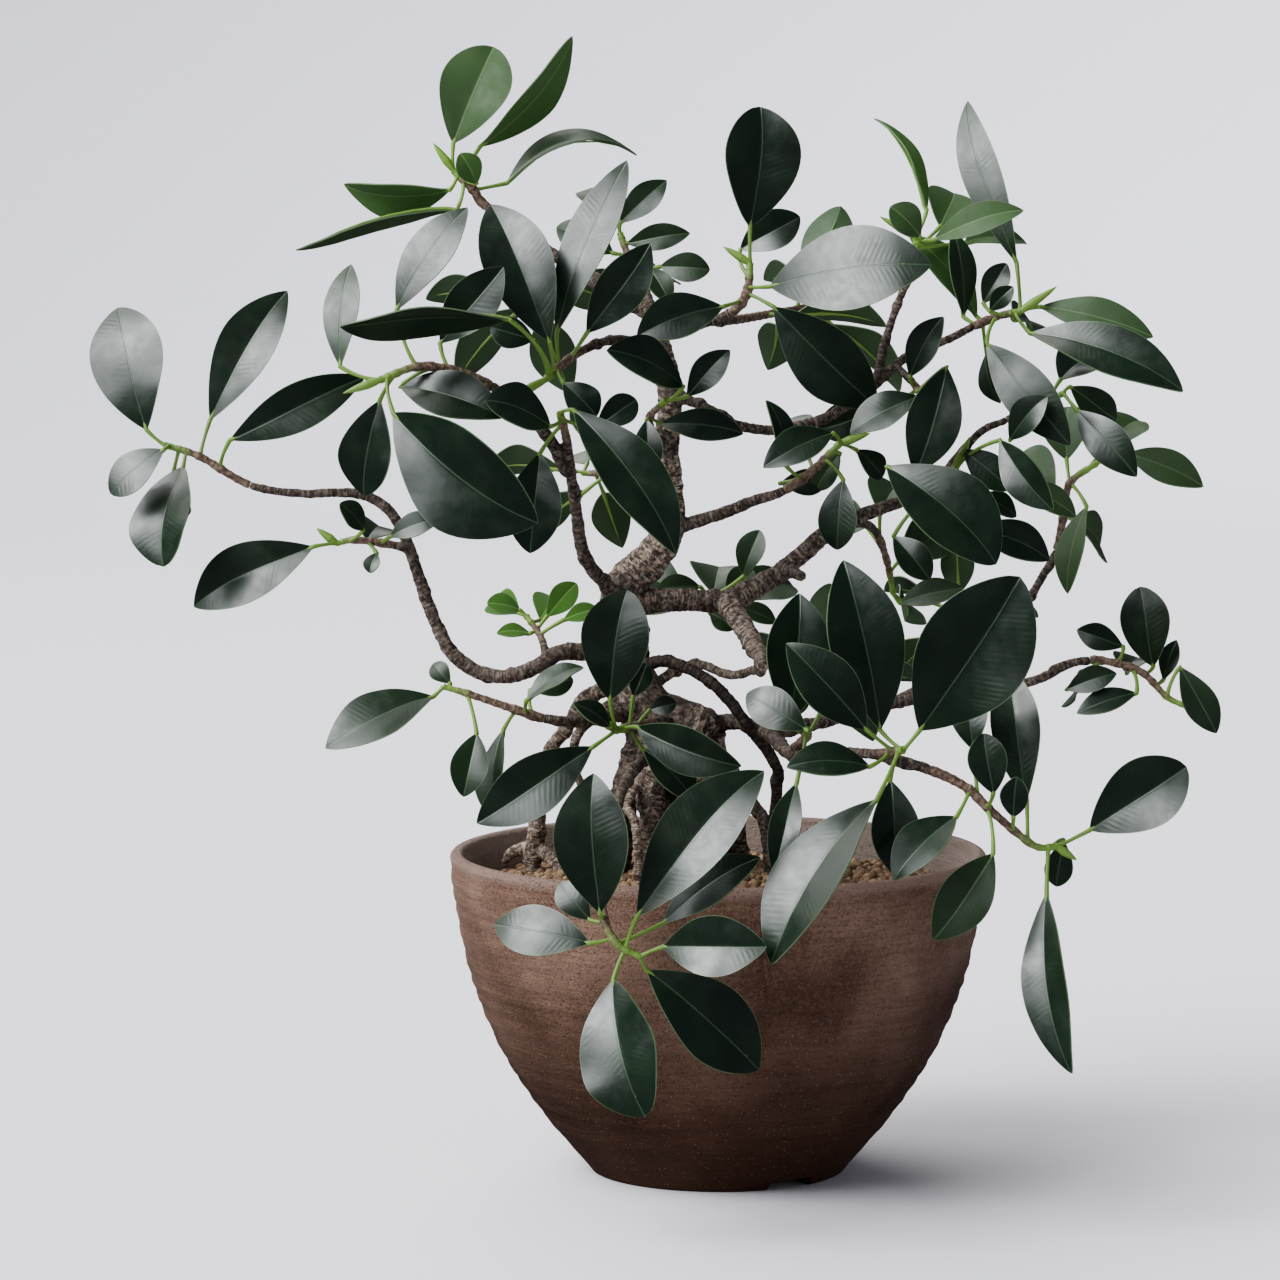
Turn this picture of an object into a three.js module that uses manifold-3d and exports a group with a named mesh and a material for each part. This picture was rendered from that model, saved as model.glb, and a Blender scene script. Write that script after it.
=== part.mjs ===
// A Chinese banyan bonsai in its round unglazed pot: the pot, the mesh over its drain hole, the
// soil, the wood of the tree with its aerial roots, and one fused solid for each leafy stem.
// Millimetres, +Z up, -Y towards the front. The tree is laid out round the pot's axis, and the
// group is moved at the end so that its origin is below the middle of its bounding box.

import * as THREE from 'three';
import { mergeVertices } from 'three/addons/utils/BufferGeometryUtils.js';
import Module from 'manifold-3d';

const wasm = await Module();
wasm.setup();

// Driving dimensions of the pot
const POT_SIDES = 36;
const POT_HEIGHT = 96;
const MOUTH_RADIUS = 80;
const WALL = 5;
const FLOOR_TOP = 9;
const FOOT_HEIGHT = 5;
const FOOT_RADIUS = 38.4;
const FOOT_WIDTH = 7.4;
const DRAIN_RADIUS = 7;
const NOTCH_COUNT = 3;
const NOTCH_WIDTH = 15;
const NOTCH_HEIGHT = 3;
const FIRST_NOTCH = -57;

// Height and outer radius of the pot's wall, from the foot to below the lip
const WALL_OUTSIDE = [[7, 43.8], [20, 54.3], [38, 65.6], [60, 74.2], [84, 79]];

// Soil, drain mesh and the clearance that separate pieces keep
const GAP = 0.3;
const HOLE_CLEARANCE = 0.4;
const SOIL_SIDES = 24;
const SOIL_EDGE = 85;
const MOUND_HEIGHT = 8;
const MOUND_SPREAD = 36;
const MOUND_X = -8;
const GRAIN_HEIGHT = 0.7;
const DRAIN_MESH_SIDES = 12;
const DRAIN_MESH_RADIUS = 17;
const DRAIN_MESH_THICKNESS = 1;
const DRAIN_MESH_HOLE = 4;
const DRAIN_MESH_PITCH = 7;

// The tree is read as it is seen from one viewing point. A place is written as three
// millimetre values: across and up on a plane READING_DISTANCE in front of that point, from the
// middle of the view, and then the place's own distance behind the pot's axis.
const VIEW_POINT = new THREE.Vector3(-23.3, -1480, 304);
const VIEW_TILT = THREE.MathUtils.degToRad(5.6);
const READING_DISTANCE = 1500;

// Leaves. The turn of a leaf is in degrees about its own axis. Leaves turned by EDGE_ON or more
// stand on edge to the viewer. Lit leaves catch the window's light: they look half-way between
// the viewer and the window, and half-lit ones are turned a little from there.
const WINDOW = new THREE.Vector3(-0.644, -0.372, 0.669);
const LIT = { lit: 0 };
const HALF_LIT = { lit: 16 };
const OTHER_HALF_LIT = { lit: -16 };
const MOST_LEAN = 0.4;
const BLADE_THICKNESS = 0.8;
const TO_THE_LIGHT = 0.4;
const EDGE_ON = 45;
const SWAY = 0.22;
const SWAY_TURN = 18;
const SWAY_SEED = 101;
const PETIOLE_RADIUS = 0.8;
const FOLD = 0.22;
const ARCH = 0.09;
const LONG_LEAF = 46;
const SHORT_LEAF = 31;
const BLADE_STATIONS = {
  long: [0.17, 0.4, 0.64, 0.85],
  middle: [0.22, 0.52, 0.8],
  short: [0.33, 0.75],
};

// Wood
const ROOT_SIDES = 5;
const TWIG_SIDES = 4;
const TRUNK_SIDES = 6;
const SHOOT_SIDES = 4;
const ROOT_DEPTH = 66;
const SCRAP_VOLUME = 0.5;

function seen([across, up, back]) {
  const forward = READING_DISTANCE * Math.cos(VIEW_TILT) + up * Math.sin(VIEW_TILT);
  const rise = up * Math.cos(VIEW_TILT) - READING_DISTANCE * Math.sin(VIEW_TILT);
  const reach = (back - VIEW_POINT.y) / forward;
  return new THREE.Vector3(VIEW_POINT.x + reach * across, back, VIEW_POINT.z + reach * rise);
}

function rooted([across, up, back]) {
  const top = seen([across, up, back]);
  return new THREE.Vector3(top.x, top.y, ROOT_DEPTH);
}

// A small seeded generator, so that the tree is the same every time
function draws(seed) {
  let state = seed;
  return () => {
    state = (state * 1664525 + 1013904223) % 4294967296;
    return state / 4294967296;
  };
}

// Solids from geometry, and geometry from solids
function toSolid(geometry) {
  const bare = geometry.clone();
  bare.deleteAttribute('normal');
  bare.deleteAttribute('uv');
  const merged = mergeVertices(bare, 1e-4);
  const mesh = new wasm.Mesh({
    numProp: 3,
    vertProperties: new Float32Array(merged.attributes.position.array),
    triVerts: new Uint32Array(merged.index.array),
  });
  return new wasm.Manifold(mesh);
}

function toGeometry(solid) {
  const mesh = solid.getMesh();
  const geometry = new THREE.BufferGeometry();
  geometry.setAttribute('position', new THREE.BufferAttribute(new Float32Array(mesh.vertProperties), 3));
  geometry.setIndex(new THREE.BufferAttribute(new Uint32Array(mesh.triVerts), 1));
  geometry.computeVertexNormals();
  return geometry;
}

function indexed(points, faces) {
  const geometry = new THREE.BufferGeometry().setFromPoints(points);
  geometry.setIndex(faces);
  return geometry;
}

// Solids joined into one body. The scraps and sealed bubbles that crossing faces can leave are
// dropped, and a piece that is larger than a scrap has come loose and stops the build.
function fuse(solids) {
  const bodies = wasm.Manifold.union(solids).decompose();
  bodies.sort((one, other) => other.volume() - one.volume());
  if (bodies.length > 1 && bodies[1].volume() > SCRAP_VOLUME) {
    throw new Error(`loose piece at ${bodies[1].boundingBox().min}`);
  }
  return bodies[0];
}

// A closed round body through rings of equal count, with flat ends
function closedRings(rings) {
  const sides = rings[0].length;
  const points = rings.flat();
  const faces = [];
  for (let row = 0; row + 1 < rings.length; row += 1) {
    for (let side = 0; side < sides; side += 1) {
      const here = row * sides + side;
      const next = row * sides + ((side + 1) % sides);
      faces.push(here, next, next + sides, here, next + sides, here + sides);
    }
  }
  const last = (rings.length - 1) * sides;
  for (let side = 1; side + 1 < sides; side += 1) {
    faces.push(0, side + 1, side, last, last + side, last + side + 1);
  }
  return toSolid(indexed(points, faces));
}

// The direction of a route at one of its points
function heading(route, index) {
  const before = route[Math.max(index - 1, 0)];
  const after = route[Math.min(index + 1, route.length - 1)];
  return after.clone().sub(before).normalize();
}

// A tapered limb with one ring at each point of its route. from and to are the numbers of its
// first and last point, and lift moves the first ring on along the route.
function limb(route, radii, { sides, from = 0, to = route.length - 1, lift = 0 }) {
  const rings = [];
  let side = new THREE.Vector3(0.3, 1, 0.2);
  for (let index = from; index <= to; index += 1) {
    const along = heading(route, index);
    const middle = route[index].clone().addScaledVector(along, index === from ? lift : 0);
    side = side.clone().addScaledVector(along, -side.dot(along)).normalize();
    const across = along.clone().cross(side);
    const ring = [];
    for (let step = 0; step < sides; step += 1) {
      const angle = (2 * Math.PI * step) / sides;
      ring.push(middle.clone()
        .addScaledVector(side, radii[index] * Math.cos(angle))
        .addScaledVector(across, radii[index] * Math.sin(angle)));
    }
    rings.push(ring);
  }
  return closedRings(rings);
}

// A place on a route, as the number of a point and a share of the span after it
function onRoute(route, place) {
  const low = Math.min(Math.floor(place), route.length - 2);
  return route[low].clone().lerp(route[low + 1], place - low);
}

// Half the blade's width at a share of its length, as a part of the leaf's full half width:
// broadest just past the middle, with a short pointed tip
function bladeShare(share) {
  return Math.sin(Math.PI * share ** 1.12) ** 0.75;
}

// Two directions square to along: one near side and one near face
function squareTo(along, side, face) {
  const [out, top] = [side, face].map((way) => way.clone().addScaledVector(along, -way.dot(along)));
  if (out.length() > top.length()) {
    out.normalize();
    return [out, out.clone().cross(along)];
  }
  top.normalize();
  return [along.clone().cross(top), top];
}

// One leaf with its stalk: a three-sided stalk that opens into a thin folded plate of even
// thickness, whose two faces are split into the same triangles, and that ends in a point.
// up is the side that the blade's upper face looks to.
function leaf(start, base, tip, width, up, arch = ARCH) {
  const axis = tip.clone().sub(base);
  const length = axis.length();
  axis.normalize();
  const face = up.clone().addScaledVector(axis, -up.dot(axis)).normalize();
  const side = axis.clone().cross(face);
  const points = [];
  const mark = (middle, across, rise) => {
    points.push(middle.clone().addScaledVector(side, across).addScaledVector(face, rise));
  };
  const stalk = base.clone().sub(start).normalize();
  for (const [middle, along] of [[start, stalk], [base, stalk.clone().add(axis).normalize()]]) {
    const [out, top] = squareTo(along, side, face);
    for (const [across, rise] of [[-1, 0.5], [1, 0.5], [0, -1]]) {
      points.push(middle.clone()
        .addScaledVector(out, across * PETIOLE_RADIUS)
        .addScaledVector(top, rise * PETIOLE_RADIUS));
    }
  }
  let stations = BLADE_STATIONS.middle;
  if (length > LONG_LEAF) {
    stations = BLADE_STATIONS.long;
  } else if (length < SHORT_LEAF) {
    stations = BLADE_STATIONS.short;
  }
  for (const share of stations) {
    const half = (width / 2) * bladeShare(share);
    const bow = arch * length * 4 * share * (1 - share);
    const middle = base.clone().addScaledVector(axis, share * length).addScaledVector(face, bow);
    for (const level of [BLADE_THICKNESS / 2, -BLADE_THICKNESS / 2]) {
      for (const edge of [-1, 0, 1]) {
        mark(middle, edge * half, level + Math.abs(edge) * FOLD * half);
      }
    }
  }
  points.push(tip.clone());

  const faces = [0, 2, 1, 0, 1, 4, 0, 4, 3, 1, 2, 5, 1, 5, 4, 0, 3, 5, 0, 5, 2];
  const first = 6;
  faces.push(3, 4, first + 1, 3, first + 1, first, 4, first + 2, first + 1);
  faces.push(4, 5, first + 5, 4, first + 5, first + 2, 3, first, first + 3, 3, first + 3, 5);
  faces.push(5, first + 3, first + 4, 5, first + 4, first + 5);
  const last = first + 6 * (stations.length - 1);
  for (let here = first; here < last; here += 6) {
    const next = here + 6;
    faces.push(here, here + 1, next + 1, here, next + 1, next);
    faces.push(here + 1, here + 2, next + 1, here + 2, next + 2, next + 1);
    faces.push(here + 3, next + 4, here + 4, here + 3, next + 3, next + 4);
    faces.push(here + 4, next + 4, here + 5, here + 5, next + 4, next + 5);
    faces.push(here, next, next + 3, here, next + 3, here + 3);
    faces.push(here + 2, here + 5, next + 5, here + 2, next + 5, next + 2);
  }
  const end = last + 6;
  faces.push(last, last + 1, end, last + 1, last + 2, end, last + 2, last + 5, end);
  faces.push(last + 5, last + 4, end, last + 4, last + 3, end, last + 3, last, end);
  return toSolid(indexed(points, faces));
}

// Where the upper side of a leaf looks before its turn: to the viewing point, and somewhat up to
// the light or half-way to the window
function outlook(middle, turn) {
  const look = VIEW_POINT.clone().sub(middle).normalize();
  if (turn.lit !== undefined) {
    look.add(WINDOW);
  } else if (Math.abs(turn) < EDGE_ON) {
    look.z += TO_THE_LIGHT;
  }
  return look.normalize();
}

// The upper side of a leaf: its outlook, square to its axis, then turned about the axis
function facing(base, tip, turn, sway) {
  const axis = tip.clone().sub(base).normalize();
  const look = outlook(base.clone().lerp(tip, 0.5), turn);
  look.addScaledVector(axis, -look.dot(axis)).normalize();
  const swayed = Math.abs(turn) < EDGE_ON ? turn + sway : turn.lit ?? turn;
  return look.applyAxisAngle(axis, THREE.MathUtils.degToRad(swayed));
}

// How far behind its base the tip of a leaf is: a swayed tip as read, and the tip of a lit leaf
// where the leaf's axis is square to its outlook
function tipDepth(base, [across, up, back], turn, sway) {
  const length = Math.hypot(across - base[0], up - base[1]);
  if (turn.lit === undefined) {
    return back + sway * length;
  }
  const from = seen(base);
  const to = seen([across, up, base[2]]);
  const look = outlook(from.clone().lerp(to, 0.5), turn);
  const lean = -to.sub(from).dot(look) / look.y;
  return base[2] + THREE.MathUtils.clamp(lean, -MOST_LEAN * length, MOST_LEAN * length);
}

// The wood: routes of seen places with their radii. Where roots is true the last place is
// in the soil, straight below its mark.
const WOOD = {
  trunk: {
    route: [[9, -70, 2], [9, -52, 2], [6, -36, 0], [3, -24, -1], [-3, -11, 0], [-5, 3, 0],
      [-5, 15, 2], [2, 23, 3], [8, 31, 2], [9, 44, 1], [8, 58, 0], [9, 74, 0], [6, 88, 3],
      [3, 98, 4]],
    radii: [10, 9, 9, 8.5, 7.5, 7, 6.5, 5.5, 4.8, 4.2, 3.8, 3.6, 3.2, 2.8],
    sides: TRUNK_SIDES,
    roots: true,
  },
  elbow: {
    route: [[2, -22, 0], [10, -25, -3], [19, -28, -6]],
    radii: [8, 8.3, 8.3],
    sides: TRUNK_SIDES,
  },
  elbow_root: {
    route: [[19, -30, -5], [23, -42, -4], [28, -55, -4], [31, -68, -4]],
    radii: [7, 4.5, 3.6, 3.2],
    roots: true,
  },
  low_stump: {
    route: [[8, -38, -3], [16, -43, -9], [21, -47, -12]],
    radii: [7, 6.8, 5.8],
    sides: TRUNK_SIDES,
  },
  low_stump_root: {
    route: [[16, -44, -8], [19, -56, -12], [17, -70, -14]],
    radii: [6, 4.6, 4],
    roots: true,
  },
  left_buttress: {
    route: [[4, -25, 0], [-2, -40, -4], [-6, -54, -6], [-9, -68, -8]],
    radii: [6, 5, 4.6, 4],
    roots: true,
  },
  front_buttress: {
    route: [[5, -30, -6], [3, -46, -14], [4, -58, -18], [3, -70, -20]],
    radii: [5.5, 4.4, 3.8, 3.2],
    roots: true,
  },
  back_buttress: {
    route: [[5, -28, 6], [10, -44, 16], [16, -56, 24], [20, -68, 28]],
    radii: [6, 5, 4, 3.4],
    roots: true,
  },
  arch_root: {
    route: [[-2, -9, -2], [6, -6.4, -9], [15, -8.8, -13], [24, -15, -17], [33, -26.5, -18],
      [40.5, -37, -15], [41, -46, -12], [39, -70, -4]],
    radii: [1.9, 1.9, 1.8, 1.8, 1.8, 1.7, 1.7, 1.6],
    roots: true,
  },
  left_aerial_root: {
    route: [[-2, -12, 1], [-16, -17, 4], [-21, -25, 8], [-28, -35, 14], [-30, -48, 20],
      [-31, -57, 24], [-34, -64, 26]],
    radii: [2.6, 2.2, 2, 2, 2, 2.8, 2.2],
    roots: true,
  },
  left_strand: {
    route: [[-1, -14, -2], [-17, -26, -8], [-20, -37, -10], [-15, -48, -12], [-10, -60, -13],
      [-9, -70, -13]],
    radii: [2, 1.6, 1.4, 1.4, 1.4, 1.3],
    roots: true,
  },
  right_root: {
    route: [[26, -38, -4], [34, -50, -8], [38, -58, -9], [41, -68, -10]],
    radii: [2.6, 2.2, 2, 1.8],
    roots: true,
  },
  pale_root: {
    route: [[2, -40, -14], [-4, -49, -22], [-1, -58, -27], [1, -71, -29]],
    radii: [1.4, 1.4, 1.4, 1.3],
    roots: true,
  },
  surface_root: {
    route: [[-22, -71, 18], [-27, -65, 22], [-32, -62, 25], [-38, -63.5, 26], [-41, -67, 26]],
    radii: [1.8, 2, 2.2, 1.8, 1.2],
  },
  right_branch: {
    route: [[-3, 11, 2], [10, 12, 0], [23, 11.4, 1], [29, 12.6, 3], [36, 16.5, 5], [44, 21.6, 6],
      [56, 32, 6], [67, 37.5, 6], [77, 41, 6]],
    radii: [4.2, 3.4, 3.3, 3.6, 3.2, 3, 2.6, 2.2, 1.8],
  },
  right_stub: {
    route: [[41, 20, 6], [45, 20.5, 2], [49, 19, -2]],
    radii: [2, 1.8, 1.6],
  },
  front_fork: {
    route: [[25, 12, 1], [31, 4, -12], [35, -3, -26], [37, -8, -42]],
    radii: [3.2, 3.2, 2.6, 1.8],
  },
  thin_fork: {
    route: [[2, -17, -1], [7, -11.5, -1], [16.6, -7.2, -2], [27, -10.5, -12], [34, -9, -24],
      [36, -9, -36]],
    radii: [1.6, 1.6, 1.4, 1.4, 1.3, 1.3],
  },
};

// Every leafy stem has a route that starts in the wood. Up to the place numbered bark it is
// twig and belongs to the wood, and from there on it is green shoot with its leaves.
// A leaf is the place on the route where its stalk starts, then the base and the tip of its
// blade, the blade's width in millimetres, and its turn about its own axis in degrees.
const LEAFY_STEMS = {
  leaves_top_left: {
    route: [[3, 98, 4], [-12, 107, 8], [-28, 117, 11], [-46, 130, 12], [-50, 135, 12], [-56, 141, 12]],
    radii: [2.6, 2.2, 1.9, 1.5, 1.3, 1],
    bark: 3,
    bud: [-62, 149, 12],
    leaves: [
      [5, [-56, 149, 13], [-44, 178, 24], 21, 0],
      [4.6, [-48, 148, 17], [-20, 181, 30], 15, 50],
      [4.8, [-57, 135, 10], [-89, 136, 14], 16, -50],
      [4.5, [-55, 129, 7], [-103, 116, -4], 13, -76, -0.07],
      [4.5, [-49, 137, 8], [-54, 146, 2], 8, 0],
      [4, [-40, 137, 16], [-1, 146, 22], 17, -74, 0.2],
    ],
  },
  leaves_top_back: {
    route: [[3, 98, 4], [2, 104, 14], [-3, 114, 20], [-6, 122, 24]],
    radii: [2, 1.3, 1.1, 0.8],
    bark: 1,
    leaves: [
      [3, [-6, 125, 24], [8, 138, 28], 9, 0],
      [2.6, [-4, 119, 22], [15, 122, 18], 8, 20],
      [1.6, [6, 112, 18], [21, 111, 16], 9, 0],
      [1.5, [2, 112, 12], [9, 101, 6], 8, 0],
      [2.2, [-8, 116, 20], [-25, 124, 24], 11, 0],
      [2.8, [-8, 128, 30], [-14, 136, 50], 14, 0],
      [1.8, [2, 108, 26], [6, 110, 48], 15, 0],
    ],
  },
  leaves_upper_front: {
    route: [[6, 87, 2], [-7, 90, -20], [-17, 87, -36], [-24, 82, -48], [-28.5, 78, -56]],
    radii: [2, 1.5, 1.3, 1.1, 0.9],
    bark: 2,
    bud: [-40, 72, -67],
    leaves: [
      [3.4, [-27, 89, -55], [-45, 131, -50], 20, HALF_LIT],
      [3, [-25, 92, -48], [-4, 144, -40], 15, LIT],
      [2.6, [-16, 92, -44], [3, 119, -38], 14, 10],
      [3.8, [-32, 90, -62], [-45, 94, -66], 9, 0],
      [3.2, [-23, 77, -58], [-13, 67, -62], 10, 0],
      [3.6, [-39, 96, -76], [-90, 93, -84], 20, -66, -0.05],
    ],
  },
  leaves_left_front: {
    route: [[-22, 50, -40], [-27, 60, -50], [-34, 68, -55], [-45, 76.5, -60], [-57, 81, -63],
      [-67, 82, -66], [-78, 78, -68]],
    radii: [2, 1.8, 1.6, 1.4, 1.3, 1.1, 0.9],
    bark: 3,
    bud: [-89, 74, -70],
    leaves: [
      [4, [-60, 89, -60], [-41, 112, -58], 14, 0],
      [5, [-73, 99, -62], [-52, 130, -58], 15, LIT],
      [6, [-90, 82, -66], [-87, 113, -62], 11, LIT],
      [5.8, [-74, 68, -76], [-31, 35, -86], 30, 26],
      [4.6, [-72, 76, -62], [-41, 67, -67], 16, 20],
      [5.6, [-78, 72, -62], [-83, 43, -60], 16, 0],
    ],
  },
  leaves_middle_front: {
    route: [[-5, 11, 0], [-16, 24, -16], [-19, 38, -28], [-21, 52, -40], [-22, 60, -50],
      [-24, 68, -60]],
    radii: [2.2, 2, 1.8, 1.6, 1.3, 0.9],
    bark: 4,
    leaves: [
      [4.8, [-27, 64, -66], [-46, 72, -74], 14, 0],
      [4.6, [-30, 56, -54], [-33, 26, -60], 16, 0],
      [5, [-20, 69, -66], [11, 26, -78], 19, 0],
      [4.8, [-13, 64, -54], [-1, 72, -50], 9, 0],
    ],
  },
  leaves_middle: {
    route: [[8, 57, 0], [4, 62, -8], [3, 67, -14], [8, 72, -22]],
    radii: [1.8, 1.3, 1.1, 0.8],
    bark: 1,
    leaves: [
      [2, [2, 66, -16], [4, 51, -18], 9, 0],
      [2, [6, 65, -13], [31, 62, -12], 10, 0],
      [2.8, [13, 76, -28], [-10, 87, -38], 15, 0],
      [3, [14, 73, -22], [27, 87, -18], 9, 0],
    ],
  },
  leaves_top_middle: {
    route: [[3, 97, 4], [15, 94.5, 2], [27, 98, 0], [32, 104, -1], [33, 113, 1]],
    radii: [2, 1.5, 1.4, 1.3, 0.9],
    bark: 2,
    bud: [25, 118, 2],
    leaves: [
      [4, [33, 124, 1], [36, 160, 8], 23, 0],
      [3.6, [30, 117, 14], [48, 127, 18], 12, 0],
      [3.2, [39, 106, -10], [87, 113, -18], 27, LIT],
      [3, [40, 100, -6], [71, 70, -4], 20, 15],
      [2.6, [25, 100, -12], [-1, 91, -26], 15, 0],
    ],
  },
  leaves_top_right: {
    route: [[71, 78, -2], [74, 91, 4], [79, 105, 8], [83, 112, 10], [82.5, 121, 10]],
    radii: [1.5, 1.3, 1.2, 1.1, 0.8],
    bark: 2,
    bud: [72, 127, 10],
    leaves: [
      [4, [86, 129, 12], [71, 157, 20], 12, 74],
      [3.6, [84, 121, 4], [75, 130, 0], 10, 0],
      [3.8, [88, 120, 4], [115, 129, 0], 10, 0],
      [3.6, [97, 119, 22], [116, 119, 28], 12, -60],
      [3.6, [90, 124, 20], [94, 134, 40], 16, 0],
      [2.6, [76, 108, 16], [66, 116, 34], 16, 0],
    ],
  },
  leaves_right_high: {
    route: [[9, 74, 0], [17, 71, -4], [23, 67.5, -6], [29, 64.5, -6], [40, 63, -5], [54, 66, -4],
      [63, 71, -3], [71, 77, -2], [80, 85, 0], [92, 90, 2], [100, 94, 3], [107, 97, 4], [114, 98.5, 4]],
    radii: [2, 1.6, 2, 1.6, 1.6, 1.6, 1.6, 1.5, 1.4, 1.3, 1.2, 1, 0.9],
    bark: 10,
    bud: [125, 106, 4],
    leaves: [
      [12, [113, 113, 14], [98, 162, 24], 12, LIT],
      [10.3, [97, 97, 12], [94, 123, 15], 9, 20],
      [10.6, [101, 97, 18], [81, 121, 24], 14, 45],
      [11, [103, 101, 7], [110, 113, 8], 8, 0],
      [11.4, [105, 99, -2], [112, 106, -8], 6, 0],
      [12, [120, 100, 7], [154, 91, 4], 12, 0],
      [11.8, [117, 92, -4], [163, 75, -12], 18, -22],
      [11, [104, 89, -4], [129, 58.5, -12], 15, LIT],
      [10.4, [104, 86, 10], [108, 71, 8], 8, 40],
      [11.6, [112, 96, 20], [118, 92, 44], 16, 0],
    ],
  },
  leaves_right_inner: {
    route: [[77, 82, -2], [82, 77, -8], [84, 74, -14]],
    radii: [1.3, 1.1, 0.9],
    bark: 1,
    leaves: [
      [1.4, [81, 79, -13], [91, 97, -16], 10, 0],
      [1.8, [92, 82, -14], [82.5, 50, -18], 16, -22],
      [2, [84, 73, -19], [63, 62, -24], 12, 0],
      [1.6, [74, 70, 2], [53, 63, 8], 12, -24],
    ],
  },
  leaves_right_tip: {
    route: [[77, 41, 6], [83, 44, 5], [90, 49, 3], [97, 57, 2], [103, 63, 2], [110, 66, 1], [120, 70.5, 0],
      [127, 74, 0]],
    radii: [1.8, 1.5, 1.4, 1.3, 1.2, 1.1, 1, 0.8],
    bark: 5,
    leaves: [
      [6, [111, 60, -16], [122, 73, -20], 10, 0],
      [7, [129, 76, 3], [143, 66, 4], 10, 0],
      [7, [131, 69, -6], [149, 49, -12], 12, LIT],
      [6.4, [126, 78, 12], [134, 84, 32], 14, 0],
    ],
  },
  leaves_right_middle: {
    route: [[84, 44, 4], [88, 44, -2], [91, 46, -8], [95, 52, -12]],
    radii: [1.4, 1.2, 1.1, 0.8],
    bark: 1,
    bud: [99, 61, -14],
    leaves: [
      [2, [74, 52, -24], [107, 23, -32], 25, -10],
      [2.6, [97, 57, -14], [112, 45, -18], 10, 0],
      [3, [108, 60, -22], [124, 39, -26], 12, HALF_LIT],
      [2.4, [112, 47, -8], [131, 37, -8], 9, 0],
      [1.6, [100, 43, 0], [113, 37, 2], 8, 0],
      [1.5, [100, 34, -6], [123, 24, -8], 12, 0],
      [1.2, [76, 31, -4], [87, 18, -6], 10, 0],
    ],
  },
  leaves_back_right: {
    route: [[76, -19, 4], [96, -8, 18], [111, 6, 30], [117, 13, 35], [121, 19.5, 38], [125, 27, 40],
      [127, 37, 40], [129, 47, 38], [137, 53, 34]],
    radii: [1.8, 1.6, 1.5, 1.4, 1.3, 1.3, 1.2, 1.1, 0.8],
    bark: 5,
    leaves: [
      [8, [146, 56, 30], [169, 46, 26], 11, 0],
      [7, [134, 40, 32], [128, 14, 30], 10, 20],
      [6.4, [124, 42, 48], [114, 56, 62], 16, 0],
      [7, [128, 54, 44], [128, 70, 56], 15, 0],
      [6, [130, 36, 48], [138, 26, 66], 16, 0],
      [7.6, [140, 58, 42], [150, 66, 56], 14, 0],
    ],
  },
  leaves_behind_right: {
    route: [[100, -5, 21], [98, 1, 34], [96, 5, 46], [95, 8, 56]],
    radii: [1.5, 1.3, 1.1, 0.8],
    bark: 1,
    rule: { from: 1.3, count: 5, length: 24, width: 13, seed: 11 },
  },
  leaves_middle_right: {
    route: [[9, 33, 2], [23, 37.5, -1], [35, 42, -3], [43.5, 45, -5], [52, 51, -6], [60, 59, -6]],
    radii: [2.2, 1.8, 1.6, 1.4, 1.2, 0.9],
    bark: 3,
    bud: [69, 62, -6],
    leaves: [
      [5, [58, 62, -12], [37, 52, -20], 12, 0],
      [3.6, [44, 52, -12], [38, 72, -14], 8, 20],
      [4.6, [60, 56, 0], [53, 45, 4], 8, 0],
      [4.4, [61, 48, -15], [59, 27, -20], 12, 0],
      [3.5, [42, 47, 2], [57, 48, 6], 8, 30],
      [4, [50, 56, 4], [44, 66, 20], 13, 0],
    ],
  },
  leaves_lower_right: {
    route: [[14, -27, 0], [28, -24.5, -6], [39, -28.5, -22], [46, -34.5, -46], [61, -34, -70],
      [72, -34, -84], [79, -33, -90]],
    radii: [3, 2.4, 2.1, 1.9, 1.7, 1.4, 1],
    bark: 5,
    leaves: [
      [6, [72, -27, -84], [61, 24, -74], 22, 0],
      [6, [84, -27, -88], [114, 19, -94], 31, 0],
      [5.6, [68, -27, -92], [44, -1, -98], 16, 0],
      [5.4, [69, -38, -96], [44, -38, -104], 12, 0],
      [5.8, [71, -48, -100], [39, -97, -116], 25, HALF_LIT],
      [5.8, [75, -42, -88], [77, -71, -92], 14, 0],
    ],
  },
  leaves_lower_middle: {
    route: [[46, -34.5, -46], [48, -31, -54], [50, -29, -62], [50, -27, -70]],
    radii: [1.8, 1.4, 1.2, 0.9],
    bark: 1,
    leaves: [
      [2, [45, -24, -66], [48, 14, -58], 19, 0],
      [3, [50, -27, -80], [32, -16, -88], 12, LIT],
      [2.4, [47, -43, -74], [40, -70, -86], 9, 20],
      [2, [54, -22, -60], [62, -4, -50], 13, 0],
    ],
  },
  leaves_lower_right_tip: {
    route: [[70, -34, -81], [87, -39, -84], [97.5, -44, -84], [104, -50, -84], [112, -57, -82],
      [119, -62, -80], [125, -62, -78]],
    radii: [1.7, 1.5, 1.3, 1.2, 1.1, 1, 0.8],
    bark: 1,
    bud: [131, -66, -78],
    leaves: [
      [2.2, [95, -53, -92], [76, -72, -102], 14, 0],
      [3, [106, -64, -90], [88, -90, -98], 15, 0],
      [6, [135, -57, -76], [164, -38, -70], 20, 0],
      [5.6, [122, -76, -84], [129, -130, -82], 15, HALF_LIT],
      [5.8, [127, -60, -70], [125, -74, -66], 8, 0],
      [4, [112, -53, -90], [113, -41, -94], 8, 0],
      [4.6, [116, -48, -76], [110, -8, -70], 14, 0],
      [3, [106, -46, -92], [103, -28, -96], 11, 0],
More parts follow.
